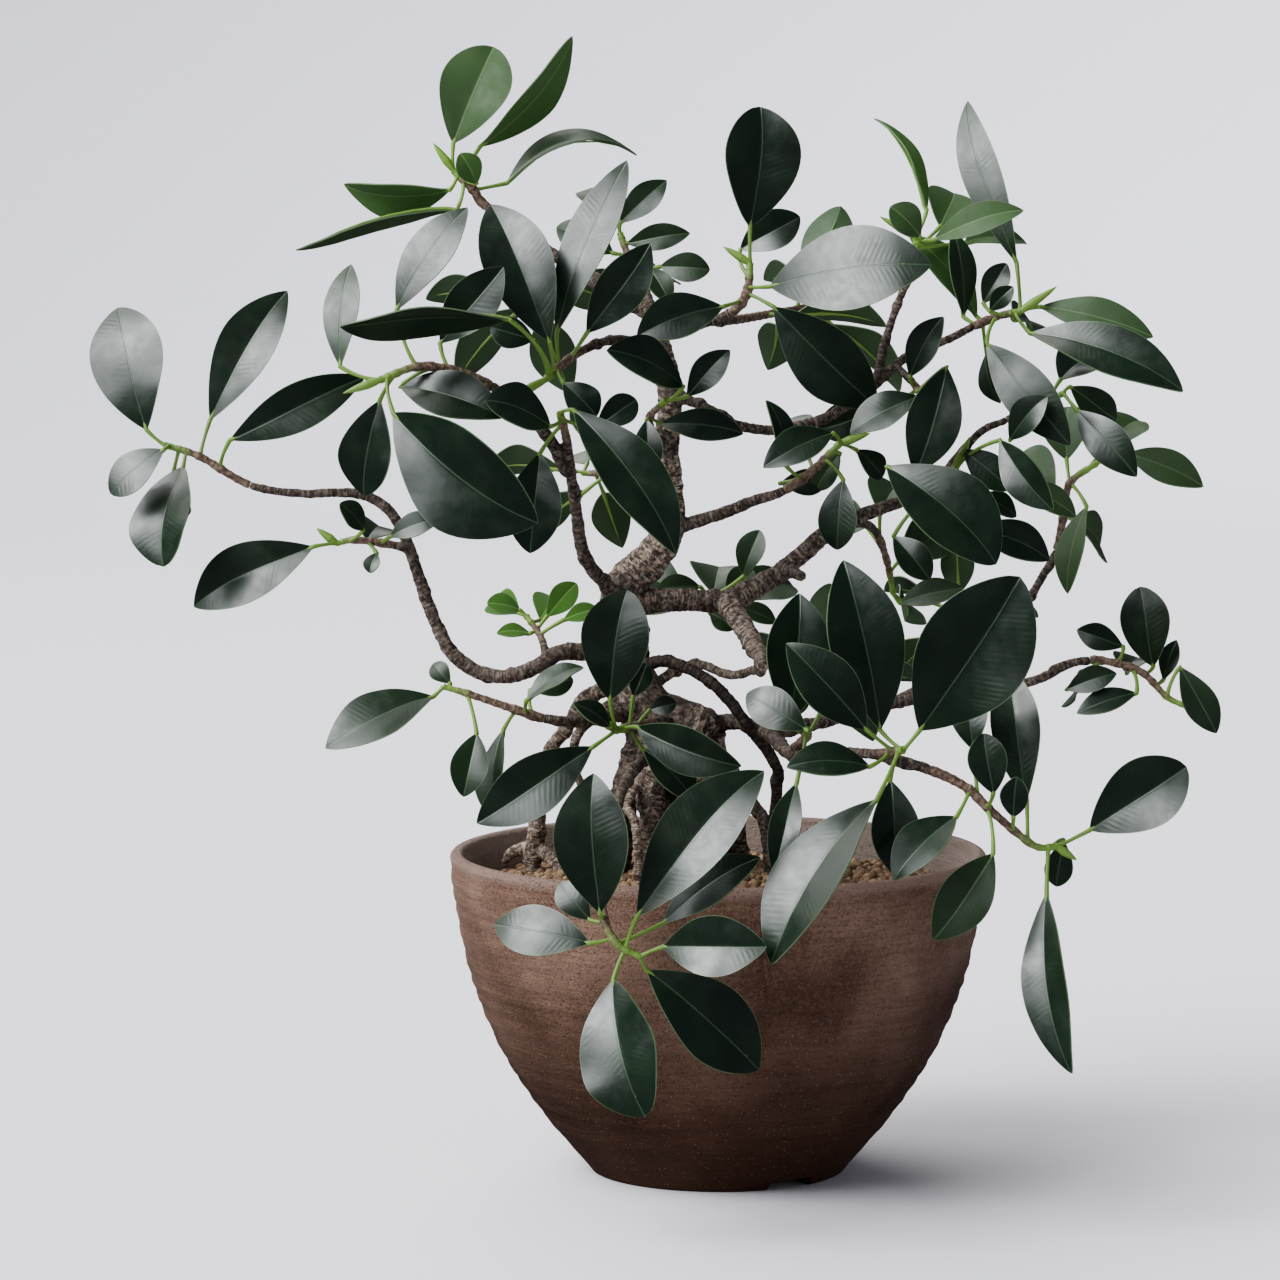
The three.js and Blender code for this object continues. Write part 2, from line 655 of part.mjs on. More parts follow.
      [2.6, [100, -33, -80], [99, -14, -76], 11, 0],
    ],
  },
  leaves_right_low: {
    route: [[39, -28.5, -22], [57, -24, -2], [76, -19, 4], [96, -16, 4], [110, -14, 4], [120, -11.6, 4],
      [128, -7.5, 4], [135, -6, 4], [143, -7, 3], [151, -10, 2], [158, -17, 1], [164, -20, 0]],
    radii: [2.1, 1.9, 1.8, 1.6, 1.5, 1.4, 1.4, 1.2, 1.1, 1, 0.9, 0.8],
    bark: 7,
    leaves: [
      [8, [145, -2, 9], [131, 3, 13], 8, 0],
      [9, [154, -8, 10], [150, 16, 14], 15, 0],
      [7.4, [128, -15, -3], [143, -10, -6], 8, 0],
      [8.6, [149, -16, -4], [131, -22, -8], 8, 0],
      [9.4, [157, -12, 14], [161, 0, 18], 6, 0],
      [10, [162, -8, 2], [173, -28, 0], 10, 20],
      [8.4, [146, -10, 14], [150, -6, 36], 14, 0],
      [7.2, [136, -12, 14], [130, -18, 32], 13, 0],
    ],
  },
  leaves_behind_low: {
    route: [[57, -24, -2], [58, -20, 14], [58, -16, 28], [57, -12, 40], [55, -9, 52]],
    radii: [1.9, 1.5, 1.2, 1, 0.8],
    bark: 2,
    rule: { from: 2.2, count: 5, length: 26, width: 14, seed: 23 },
  },
  leaves_behind_middle: {
    route: [[22, 11.5, 1], [22, 12, 18], [21, 13, 34], [20, 13, 50], [20, 12, 62]],
    radii: [2.2, 1.8, 1.5, 1.2, 0.8],
    bark: 2,
    leaves: [
      [3, [18, 16, 46], [5, 15, 44], 8, 0],
      [2.6, [28, 10, 42], [41, 5, 42], 7, 0],
      [2.4, [31, 19, 36], [36, 33, 40], 9, 0],
      [4, [22, 14, 72], [24, 22, 96], 18, 0],
      [3.8, [14, 10, 66], [2, 12, 88], 17, 0],
      [3.2, [14, 12, 60], [-6, 22, 70], 16, 0],
      [3.9, [28, 12, 70], [46, 16, 84], 16, 0],
    ],
  },
  leaves_behind_right_middle: {
    route: [[60, 34.5, 6], [67, 35, 18], [71, 32, 32], [74, 24, 42], [76, 14, 48]],
    radii: [1.6, 1.4, 1.2, 1, 0.8],
    bark: 2,
    leaves: [
      [4, [78, 11, 48], [97, 15.6, 46], 9, 0],
      [3, [68, 34, 48], [60, 34, 66], 15, 0],
      [3.4, [78, 24, 48], [90, 32, 62], 15, 0],
      [2.4, [72, 38, 34], [78, 46, 52], 16, 0],
      [4, [78, 12, 56], [80, 6, 76], 15, 0],
    ],
  },
  leaves_behind_left: {
    route: [[8.5, 47, 1], [2, 49, 18], [-6, 50, 34], [-12, 50, 48], [-17, 50, 60]],
    radii: [2.4, 1.8, 1.4, 1.1, 0.8],
    bark: 2,
    rule: { from: 2.2, count: 6, length: 27, width: 15, seed: 37 },
  },
  leaves_behind_high: {
    route: [[-20, 112, 10], [-24, 110, 22], [-29, 106, 34], [-33, 103, 46], [-36, 102, 56]],
    radii: [1.6, 1.4, 1.2, 1, 0.8],
    bark: 1,
    rule: { from: 1.6, count: 6, length: 26, width: 14, seed: 41 },
  },
  leaves_behind_top: {
    route: [[18, 95.5, 2], [28, 96, 18], [40, 98, 32], [50, 100, 44], [56, 102, 54]],
    radii: [1.6, 1.4, 1.2, 1, 0.8],
    bark: 1,
    rule: { from: 1.8, count: 6, length: 28, width: 15, seed: 59 },
  },
  leaves_left_low: {
    route: [[0, -3, 0], [-16.5, -3.6, -4], [-24, -4, -6], [-32, -8.5, -7], [-41, -11, -6], [-50, -9, -4],
      [-57, -3, -2], [-63, 9, 0], [-67, 21, 1], [-71, 32, 1], [-76.5, 40, 0], [-85.5, 44, -1],
      [-102, 44, -3], [-117, 46.5, -4], [-132, 55, -4], [-142.5, 58.5, -4]],
    radii: [3.4, 2.8, 2.4, 2.3, 2.2, 2.2, 2.1, 2, 1.8, 1.7, 1.6, 1.5, 1.3, 1.2, 1, 0.8],
    bark: 13,
    leaves: [
      [15, [-148, 63, -3], [-157, 100, 4], 23, LIT],
      [14.9, [-143, 57, -12], [-159, 44, -16], 13, LIT],
      [14.4, [-137, 52, -6], [-143, 22, -12], 23, HALF_LIT],
      [14, [-129, 66, 0], [-106, 105, 6], 17, HALF_LIT],
      [13.6, [-123, 60, -8], [-82.5, 79, -14], 14, 12],
      [14.6, [-140, 50, 8], [-141, 38, 30], 14, 0],
    ],
  },
  leaves_left_side: {
    route: [[-69, 27, 1], [-74, 28.5, -2], [-85.5, 30, -4], [-91, 29, -5]],
    radii: [1.6, 1.2, 1, 0.8],
    bark: 1,
    bud: [-97, 33.5, -5],
    leaves: [
      [3, [-98, 28, -8], [-134, 10, -14], 18, OTHER_HALF_LIT],
      [1.3, [-75, 31, -8], [-60, 36, -12], 8, 0],
      [2, [-82, 30, 6], [-78, 34, 26], 14, 0],
    ],
  },
  leaves_left_inner: {
    route: [[-28, -6, -7], [-29, -1, 2], [-31, 3, 10], [-34, 7, 14]],
    radii: [1.6, 1.1, 0.9, 0.8],
    bark: 1,
    leaves: [
      [2, [-28, 7, 14], [-19, 17, 18], 8, 0],
      [3, [-36, 8, 20], [-45, 11, 36], 10, 0],
      [2.6, [-30, 6, 22], [-24, 12, 44], 12, 0],
    ],
  },
  leaves_left_bottom: {
    route: [[-3, -22, -4], [-12, -23.5, -12], [-19.5, -24.6, -22], [-29, -23.5, -26], [-37, -21, -27],
      [-52, -16, -27], [-59, -14, -27]],
    radii: [2.4, 2, 1.7, 1.4, 1.2, 1, 0.8],
    bark: 3,
    leaves: [
      [6, [-62, -17, -28], [-94.5, -32, -34], 17, 0],
      [5, [-49, -28, -32], [-53, -47, -36], 11, 0],
      [4, [-41, -27, -26], [-42.5, -56, -30], 12, 50],
      [3.6, [-34, -18, -34], [-17, -8, -36], 8, -45],
      [3.4, [-33, -15, -22], [-20, -12, -14], 8, 0],
    ],
  },
  leaves_trunk_front: {
    route: [[9, -24, -7], [4, -25, -20], [-2, -26, -32], [-7, -27, -40]],
    radii: [2.2, 1.6, 1.3, 1],
    bark: 1,
    bud: [-14, -23, -46],
    leaves: [
      [3, [-9, -18, -44], [-4, 15, -42], 20, 10],
      [3, [-14, -32, -46], [-49, -55, -54], 17, -14],
      [2.6, [-1, -26, -42], [30, -38, -50], 14, 26],
      [3, [-9, -26, -50], [-20, -19, -56], 7, 0],
      [2.3, [1, -33, -34], [16, -48, -38], 12, 0],
    ],
  },
  leaves_before_pot: {
    route: [[6, -32, -10], [0, -37, -30], [-5, -44, -58], [-8, -56, -80], [-11, -72, -92], [-11, -83, -99],
      [-7, -91, -102], [0, -95, -102]],
    radii: [2, 1.8, 1.6, 1.4, 1.3, 1.2, 1, 0.8],
    bark: 3,
    leaves: [
      [5, [-12, -82, -108], [-14, -40, -104], 21, 0],
      [6.4, [-1, -83, -105], [37, -39, -108], 21, HALF_LIT],
      [6, [7, -85, -98], [36, -65, -98], 13, LIT],
      [5.8, [-15, -91, -102], [-44, -85, -100], 15, LIT],
      [7, [7, -92, -104], [38, -92, -106], 17, HALF_LIT],
      [6.4, [-8, -102, -104], [1, -143, -96], 26, HALF_LIT],
      [7, [2, -99, -100], [36, -129, -94], 22, 0],
      [5.2, [-15, -84, -97], [-24, -73, -95], 9, LIT],
    ],
  },
};

// Leaves that follow a rule: each one a golden angle round the shoot from the last, leaning
// outwards and towards the shoot's tip
const GOLDEN_ANGLE = THREE.MathUtils.degToRad(137.5);
const PETIOLE_LENGTH = 9;

function leavesByRule(route, rule) {
  const draw = draws(rule.seed);
  const solids = [];
  const end = route.length - 1;
  let angle = draw() * 2 * Math.PI;
  for (let index = 0; index < rule.count; index += 1) {
    const place = rule.from + ((end - rule.from) * index) / (rule.count - 1);
    const start = onRoute(route, place);
    const along = heading(route, Math.round(place));
    const side = new THREE.Vector3(0, 0, 1).addScaledVector(along, -along.z).normalize();
    const out = side.applyAxisAngle(along, angle);
    const lean = index === rule.count - 1 ? 1.4 : 0.65;
    const outwards = out.clone().addScaledVector(along, lean).normalize();
    const base = start.clone().addScaledVector(outwards, PETIOLE_LENGTH);
    const grown = rule.length * (0.8 + 0.3 * draw());
    const tip = base.clone().addScaledVector(outwards, grown).add(new THREE.Vector3(0, 0, -0.12 * grown));
    const up = along.clone().add(new THREE.Vector3(0, 0, 0.9));
    solids.push(leaf(start, base, tip, rule.width * (grown / rule.length), up));
    angle += GOLDEN_ANGLE;
  }
  return solids;
}

// A leafy stem. Each leaf that is read sways a little towards the front or the back and about
// its own axis, by seeded draws, and its tip keeps its place across and up.
function leafyStem(stem, number) {
  const draw = draws(SWAY_SEED + number);
  const route = stem.route.map(seen);
  const end = route[route.length - 1];
  const solids = [limb(route, stem.radii, { sides: SHOOT_SIDES, from: stem.bark, lift: GAP })];
  for (const [place, base, tip, width, turn, arch] of stem.leaves ?? []) {
    const from = seen(base);
    const depth = tipDepth(base, tip, turn, (2 * draw() - 1) * SWAY);
    const to = seen([tip[0], tip[1], depth]);
    const face = facing(from, to, turn, (2 * draw() - 1) * SWAY_TURN);
    solids.push(leaf(onRoute(route, place), from, to, width, face, arch));
  }
  if (stem.rule) {
    solids.push(...leavesByRule(route, stem.rule));
  }
  if (stem.bud) {
    const bud = [end, end.clone().lerp(seen(stem.bud), 0.45), seen(stem.bud)];
    solids.push(limb(bud, [0.9, 1.3, 0.3], { sides: SHOOT_SIDES }));
  }
  return fuse(solids);
}

// Every limb of the wood as its route, radii and sides, and whether it ends in the soil
function woodLimbs() {
  const limbs = [];
  for (const { route, radii, sides = ROOT_SIDES, roots = false } of Object.values(WOOD)) {
    const points = route.map(seen);
    const rootTip = route.length - 1;
    if (roots && route[0][1] > route[rootTip][1]) {
      points[rootTip] = rooted(route[rootTip]);
    } else if (roots) {
      points[0] = rooted(route[0]);
    }
    limbs.push({ points, radii, sides });
  }
  return limbs;
}

function treeWood() {
  const solids = woodLimbs().map(({ points, radii, sides }) => limb(points, radii, { sides }));
  for (const stem of Object.values(LEAFY_STEMS)) {
    solids.push(limb(stem.route.map(seen), stem.radii, { sides: TWIG_SIDES, to: stem.bark }));
  }
  return fuse(solids);
}

// The pot: one turned wall with its lip and foot ring, three notches in the foot, one drain hole
function pot() {
  const inside = WALL_OUTSIDE.filter(([height]) => height > FLOOR_TOP)
    .map(([height, radius]) => [height, radius - WALL]);
  const profile = [
    [0, FOOT_RADIUS - 0.8], [1.3, FOOT_RADIUS],
    ...WALL_OUTSIDE,
    [POT_HEIGHT - 1.5, MOUTH_RADIUS], [POT_HEIGHT, MOUTH_RADIUS - 1.6], [POT_HEIGHT, MOUTH_RADIUS - 3.8],
    ...inside.reverse(),
    [FLOOR_TOP, FOOT_RADIUS], [FLOOR_TOP, DRAIN_RADIUS], [FOOT_HEIGHT, DRAIN_RADIUS],
    [FOOT_HEIGHT, FOOT_RADIUS - FOOT_WIDTH], [0, FOOT_RADIUS - FOOT_WIDTH + 0.6],
    [0, FOOT_RADIUS - 0.8],
  ];
  const turned = new THREE.LatheGeometry(profile.map(([z, r]) => new THREE.Vector2(r, z)), POT_SIDES);
  turned.rotateX(Math.PI / 2);
  let solid = toSolid(turned);
  for (let notch = 0; notch < NOTCH_COUNT; notch += 1) {
    const cutter = new THREE.BoxGeometry(3 * FOOT_WIDTH, NOTCH_WIDTH, 2 * NOTCH_HEIGHT);
    cutter.translate(FOOT_RADIUS, 0, 0);
    cutter.rotateZ(THREE.MathUtils.degToRad(FIRST_NOTCH + (360 * notch) / NOTCH_COUNT));
    solid = solid.subtract(toSolid(cutter));
  }
  return solid;
}

// A round of plastic netting over the drain hole
function drainMesh() {
  const low = FLOOR_TOP + GAP;
  const profile = [[0, low], [DRAIN_MESH_RADIUS, low], [DRAIN_MESH_RADIUS, low + DRAIN_MESH_THICKNESS],
    [0, low + DRAIN_MESH_THICKNESS]];
  const disc = new THREE.LatheGeometry(profile.map(([r, z]) => new THREE.Vector2(r, z)), DRAIN_MESH_SIDES);
  disc.rotateX(Math.PI / 2);
  const holes = [];
  for (const [column, line] of [[0, 0], [-1, 0], [1, 0], [0, -1], [0, 1]]) {
    const hole = new THREE.BoxGeometry(DRAIN_MESH_HOLE, DRAIN_MESH_HOLE, 4 * DRAIN_MESH_THICKNESS);
    hole.translate(column * DRAIN_MESH_PITCH, line * DRAIN_MESH_PITCH, low + DRAIN_MESH_THICKNESS / 2);
    holes.push(toSolid(hole));
  }
  return toSolid(disc).subtract(wasm.Manifold.union(holes));
}

// The soil fills the pot to a little below its lip, rises in a low mound round the trunk and
// is bumpy with grains. Every root stands in a plain hole.
function soilTop(x, y) {
  const mound = MOUND_HEIGHT * Math.exp(-(((x - MOUND_X) ** 2 + y ** 2) / MOUND_SPREAD ** 2));
  const grains = GRAIN_HEIGHT * Math.sin(x * 0.9 + 2 * Math.sin(y * 0.31)) * Math.cos(y * 0.8 + x * 0.2);
  return SOIL_EDGE + mound + grains;
}

function soil() {
  const above = FLOOR_TOP + DRAIN_MESH_THICKNESS + 2 * GAP;
  const wall = WALL_OUTSIDE.filter(([height]) => height > FLOOR_TOP && height < SOIL_EDGE)
    .map(([height, radius]) => [radius - WALL - GAP - 0.1, height + 0.1]);
  const rimRadius = MOUTH_RADIUS - WALL - 2.2;
  const topRadii = [60, 45, 30, 14];
  const profile = [
    [0, above], [DRAIN_MESH_RADIUS + GAP, above], [DRAIN_MESH_RADIUS + GAP, FLOOR_TOP + GAP],
    [FOOT_RADIUS - 1, FLOOR_TOP + GAP], ...wall, [rimRadius, SOIL_EDGE],
    ...topRadii.map((radius) => [radius, SOIL_EDGE]), [0, SOIL_EDGE],
  ];
  const body = new THREE.LatheGeometry(profile.map(([r, z]) => new THREE.Vector2(r, z)), SOIL_SIDES);
  body.rotateX(Math.PI / 2);
  const place = body.attributes.position;
  for (let index = 0; index < place.count; index += 1) {
    if (place.getZ(index) > SOIL_EDGE - 0.5) {
      place.setZ(index, soilTop(place.getX(index), place.getY(index)));
    }
  }
  const holes = woodLimbs().map(({ points, radii, sides }) => {
    const end = points.length - 1;
    const longer = points.map((point) => point.clone());
    longer[0].addScaledVector(heading(points, 0), -2 * GAP);
    longer[end].addScaledVector(heading(points, end), 2 * GAP);
    const wider = radii.map((radius) => radius + HOLE_CLEARANCE);
    return limb(longer, wider, { sides });
  });
  return toSolid(body).subtract(wasm.Manifold.union(holes));
}

function finish(color, roughness) {
  return new THREE.MeshStandardMaterial({ color, roughness, metalness: 0 });
}

const STONEWARE = finish(0x4a3a33, 0.85);
const GRANULES = finish(0x8a6b4e, 0.95);
const NETTING = finish(0x1f1f1f, 0.6);
const BARK = finish(0x6d5a4e, 0.8);
const LEAF_GREEN = finish(0x1f3a26, 0.35);

const bonsai = new THREE.Group();

function add(name, solid, material) {
  const mesh = new THREE.Mesh(toGeometry(solid), material);
  mesh.name = name;
  bonsai.add(mesh);
}

add('pot', pot(), STONEWARE);
add('drain_mesh', drainMesh(), NETTING);
add('soil', soil(), GRANULES);
add('tree_wood', treeWood(), BARK);
for (const [number, [name, stem]] of Object.entries(LEAFY_STEMS).entries()) {
  add(name, leafyStem(stem, number), LEAF_GREEN);
}

const box = new THREE.Box3().setFromObject(bonsai);
bonsai.position.set(-(box.min.x + box.max.x) / 2, -(box.min.y + box.max.y) / 2, -box.min.z);
bonsai.updateMatrixWorld(true);

export default bonsai;
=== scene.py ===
# A Chinese banyan bonsai in its round unglazed pot, dressed for rendering: thin glossy leaves
# with midrib and veins, bark with scars and cracks, loose soil granules and gritty stoneware.
# Sizes and tables are in millimetres, as the tree was read. Blender's own units are metres.

import math

import bmesh
import bpy
from mathutils import Euler, Matrix, Vector, noise
from mathutils.kdtree import KDTree


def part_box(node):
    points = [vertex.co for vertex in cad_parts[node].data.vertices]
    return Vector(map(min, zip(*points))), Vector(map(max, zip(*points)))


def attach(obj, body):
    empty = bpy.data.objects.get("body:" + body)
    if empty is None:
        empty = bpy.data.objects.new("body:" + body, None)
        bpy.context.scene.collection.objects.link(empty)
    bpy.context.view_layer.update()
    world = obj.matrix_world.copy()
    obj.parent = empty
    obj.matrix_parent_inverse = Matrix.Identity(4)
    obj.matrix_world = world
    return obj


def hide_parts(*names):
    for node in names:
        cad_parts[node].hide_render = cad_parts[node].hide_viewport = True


MM = 0.001

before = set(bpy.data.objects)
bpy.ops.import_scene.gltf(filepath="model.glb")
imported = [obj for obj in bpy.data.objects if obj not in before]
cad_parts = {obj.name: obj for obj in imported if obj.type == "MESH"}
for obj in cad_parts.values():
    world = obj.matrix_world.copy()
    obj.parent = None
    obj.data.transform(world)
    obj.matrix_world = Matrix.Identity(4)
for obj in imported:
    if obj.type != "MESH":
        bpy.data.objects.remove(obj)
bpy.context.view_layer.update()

# The pot stands on z = 0, and the tree is laid out round the pot's axis
POT_LOW, POT_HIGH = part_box("pot")
AXIS = Vector(((POT_LOW.x + POT_HIGH.x) / 2, (POT_LOW.y + POT_HIGH.y) / 2, 0))

# The way to the key light
KEY_LIGHT = Vector((-0.644, -0.372, 0.669))

# The viewing point, in millimetres from the foot of the pot's axis. A place of the tree is
# written as across and up on a plane READING_DISTANCE in front of it, and the place's own
# distance behind the pot's axis.
VIEW_POINT = Vector((-23.3, -1480, 304))
VIEW_TILT = math.radians(5.6)
READING_DISTANCE = 1500
LENS_LENGTH = 140.625
SENSOR_WIDTH = 36

# The generator of seeded draws
DRAW_FACTOR = 1664525
DRAW_STEP = 1013904223
DRAW_RANGE = 2 ** 32

# Pot: WALL_OUTSIDE is heights and outer radii, from the foot to below the lip, and FOOT_OUTSIDE
# is distances outside FOOT_RADIUS and heights
POT_STEPS = 180
POT_HEIGHT = 96
MOUTH_RADIUS = 80
WALL = 5
FLOOR_TOP = 9
FLOOR_RING = 20
FLOOR_CORNER = (4, 3)
FOOT_HEIGHT = 5
FOOT_RADIUS = 38.4
FOOT_WIDTH = 7.4
FOOT_OUTSIDE = [(-0.9, 0), (-0.25, 0.3), (0.3, 1.0), (1.7, 2.8), (3.5, 4.9)]
FOOT_CORNER = 0.8
FOOT_EDGE = (0.6, 0.7)
WALL_OUTSIDE = [(7, 43.8), (20, 54.3), (38, 65.6), (60, 74.2), (84, 79)]
OUTSIDE_STEP = 0.9
INSIDE_STEP = 1.6

# The throwing ridges: how far they stand out, their pitch, and how far and how fast the pitch
# wanders. They fade out over the last of the wall at the foot and at the lip, and are lower
# inside.
RIDGES = [(0.19, 6.3, 1.7, 0.23), (0.07, 2.7, 1.1, 0.61)]
FOOT_FADE = 6
LIP_FADE = 5
INSIDE_RIDGES = 0.6
INSIDE_SHIFT = 3

# Lip, drain hole and notches. Just below the lip, the wall is a little thinner from both sides.
LIP_DEPTH = 4.0
LIP_FLARE = 0.25
LIP_THINNING = 0.3
LIP_HALF = 2.0
LIP_RISE = 1.8
LIP_STEPS = 8
DRAIN_RADIUS = 7
DRAIN_EDGE = 0.6
NOTCH_ANGLES = (-57, 63, 183)
NOTCH_WIDTH = 15
NOTCH_HEIGHT = 3
NOTCH_ROUND = 1.2
SHARP_CLAY = math.radians(40)

# Soil: the bed is a mound under loose granules. Where two numbers are given, each granule draws
# one between them.
SOIL_EDGE = 85
SOIL_RADIUS = 72.6
MOUND_HEIGHT = 8
MOUND_SPREAD = 36
MOUND_X = -8
BED_DEPTH = 1.2
BED_STEP = 2.2
BED_STEPS = 120
BED_SHADE = 0.12
NETTING_RADIUS = 17.4
NETTING_ROOM = 1.8
SOIL_ROOM = 0.5
GRAIN_PITCH = 2.95
GRAIN_SIZES = (1.15, 2.1)
GRAIN_SHIFT = (-0.8, 0.8)
GRAIN_LEVEL = (-0.7, 0.5)
GRAIN_STRETCH = (0.75, 1.1)
GRAIN_SUNK = 0.4
GRAIN_FROM_WALL = 0.7
GRAIN_FROM_WOOD = 0.3
GRAIN_LUMPS = 0.2
GRAIN_TURN = (0, 6.28)
GRAIN_SEED = 404

# Leaves, as in the source of the solids. The turn of a leaf is in degrees about its own axis.
# Leaves turned by EDGE_ON or more stand on edge to the viewer. Lit leaves mirror the key light:
# they look half-way between the viewer and the light, and half-lit ones are turned a little
# from there.
LIT = {"lit": 0}
HALF_LIT = {"lit": 16}
OTHER_HALF_LIT = {"lit": -16}
MOST_LEAN = 0.4
EDGE_ON = 45
SWAY = 0.22
SWAY_TURN = 18
SWAY_SEED = 101
LOOK_UP = 0.4
FOLD = 0.22
LIT_FOLD = 0.3
ARCH = 0.09

# Leaves set by rule round a shoot at the back
PETIOLE_LENGTH = 9
GOLDEN_ANGLE = math.radians(137.5)
RULE_LEAN = 0.65
END_LEAN = 1.4
LEAST_GROWN = 0.8
GROWN_SPREAD = 0.3
RULE_DROOP = 0.12
RULE_UP = 0.9

# The finer blade. Where two numbers are given, each leaf draws one between them. A blade whose
# width is NARROW_BLADE of its length has a long tip, and one wider by BROADER a round one.
BLADE_THICKNESS = 0.42
LENGTH_CELLS = 28
WIDTH_CELLS = 10
HAMMER_SIZE = 5.5
HAMMER_DEPTH = 0.14
NECK_HALF = 0.35
TIP_HALF = 0.08
BROADEST = 1.12
FULLNESS = 0.78
ROUNDER = 0.2
END_CROWDING = 0.08
MARGIN_CROWDING = 1.6
FOLD_EASE = 0.001
FOLDS = (0.95, 1.4)
CURLS = (0.0, 0.14)
WAVES = (0.8, 1.9)
RIPPLES = (0.02, 0.07)
DROOPS = (0.0, 0.10)
DROOP_START = 0.72
SICKLES = (-0.04, 0.04)
TWISTS = (-9, 9)
TWIST_MIDDLE = 0.4
NARROW_BLADE = 0.52
BROADER = 0.10
SHARP_BLADE = math.radians(50)
LEAF_SEED = 1000
LEAF_SEED_STEP = 37

# The leaf stalk, and the rib that it becomes under the blade
STALK_SIDES = 8
STALK_STEPS = 7
STALK_BOW = 0.28
STALK_RADIUS = 0.85
STALK_WAIST = 0.3
STALK_WAIST_EASE = 0.6
STALK_TONE = 0.25
RIB_SHARES = (0.0, 0.06, 0.14, 0.25, 0.4, 0.56, 0.72, 0.86)
RIB_RADIUS = 0.62
RIB_END = 0.10
RIB_TAPER = 1.2
RIB_SINKING = 12

# Green shoots, thicker where a leaf starts and at the scars of old ones, and their buds
SHOOT_SIDES = 10
SHOOT_STEP = 0.55
SHOOT_TONE = 0.35
NODE_REACH = 0.12
NODE_SWELLING = 0.25
SCAR_PITCH = 2.7
SCAR_HALF = 0.22
SCAR_SWELLING = 0.16
BUD_SHARES = (0.0, 0.15, 0.35, 0.6, 0.8, 0.93, 1.0)
BUD_RADII = (0.9, 1.15, 1.35, 1.05, 0.7, 0.35, 0.12)

# Wood
ROOT_DEPTH = 66
WOOD_SIDES = 12
TWIG_STEP = 1.5
WOOD_VOXEL = 0.55
WOOD_KEPT = 0.57
TWIG_SHADE = 0.26
LIMB_APART = 20

# The relief of the bark: limbs are young up to TWIG_RADIUS, and old when thicker by AGEING.
# What ends in WAVES is how many waves of noise there are to the millimetre.
TWIG_RADIUS = 1.3
AGEING = 2.2
RING_PITCH = 2.6
RING_WIDENING = 0.5
RING_HALF = 0.12
RING_RIDGE = 0.2
RING_DRIFT = 1.4
DRIFT_WAVES = 0.13
RING_TILT = 0.3
TILT_WAVES = 0.2
CRACK_DEPTH = 0.14
OLD_CRACK_DEPTH = 0.12
CRACK_CONTRAST = 1.6
CRACK_WAVES = 0.5
RIDGE_HEIGHT = 0.12
LUMP_HEIGHT = 0.12
OLD_LUMP_HEIGHT = 0.40
LUMP_WAVES = 0.23
FLAKE_HEIGHT = 0.22
LEAST_FLAKES = 0.3
FLAKE_WAVES = 0.9
KNOT_HEIGHT = 1.6
KNOT_START = 0.22
KNOT_WAVES = 0.21

# The paper floor, whose rim curves up
FLOOR_RADIUS = 3200
FLOOR_CURVE = 700
FLOOR_RIM = 1000
CURVE_STEPS = 12
FLOOR_STEPS = 96

# The sky's colour and strength, and the lights: the way to each, its strength, its width in
# degrees and its colour
SKY = (0.84, 0.88, 0.96, 1)
SKY_STRENGTH = 0.12
DAYLIGHT = (0.96, 0.98, 1.0)
LIGHTS = {
    "key": (KEY_LIGHT, 4.0, 58, DAYLIGHT),
    "key_middle": (KEY_LIGHT, 1.3, 26, DAYLIGHT),
    "skylight": (Vector((-0.40, 0.62, 0.68)), 2.2, 60, (1.0, 0.98, 0.95)),
}

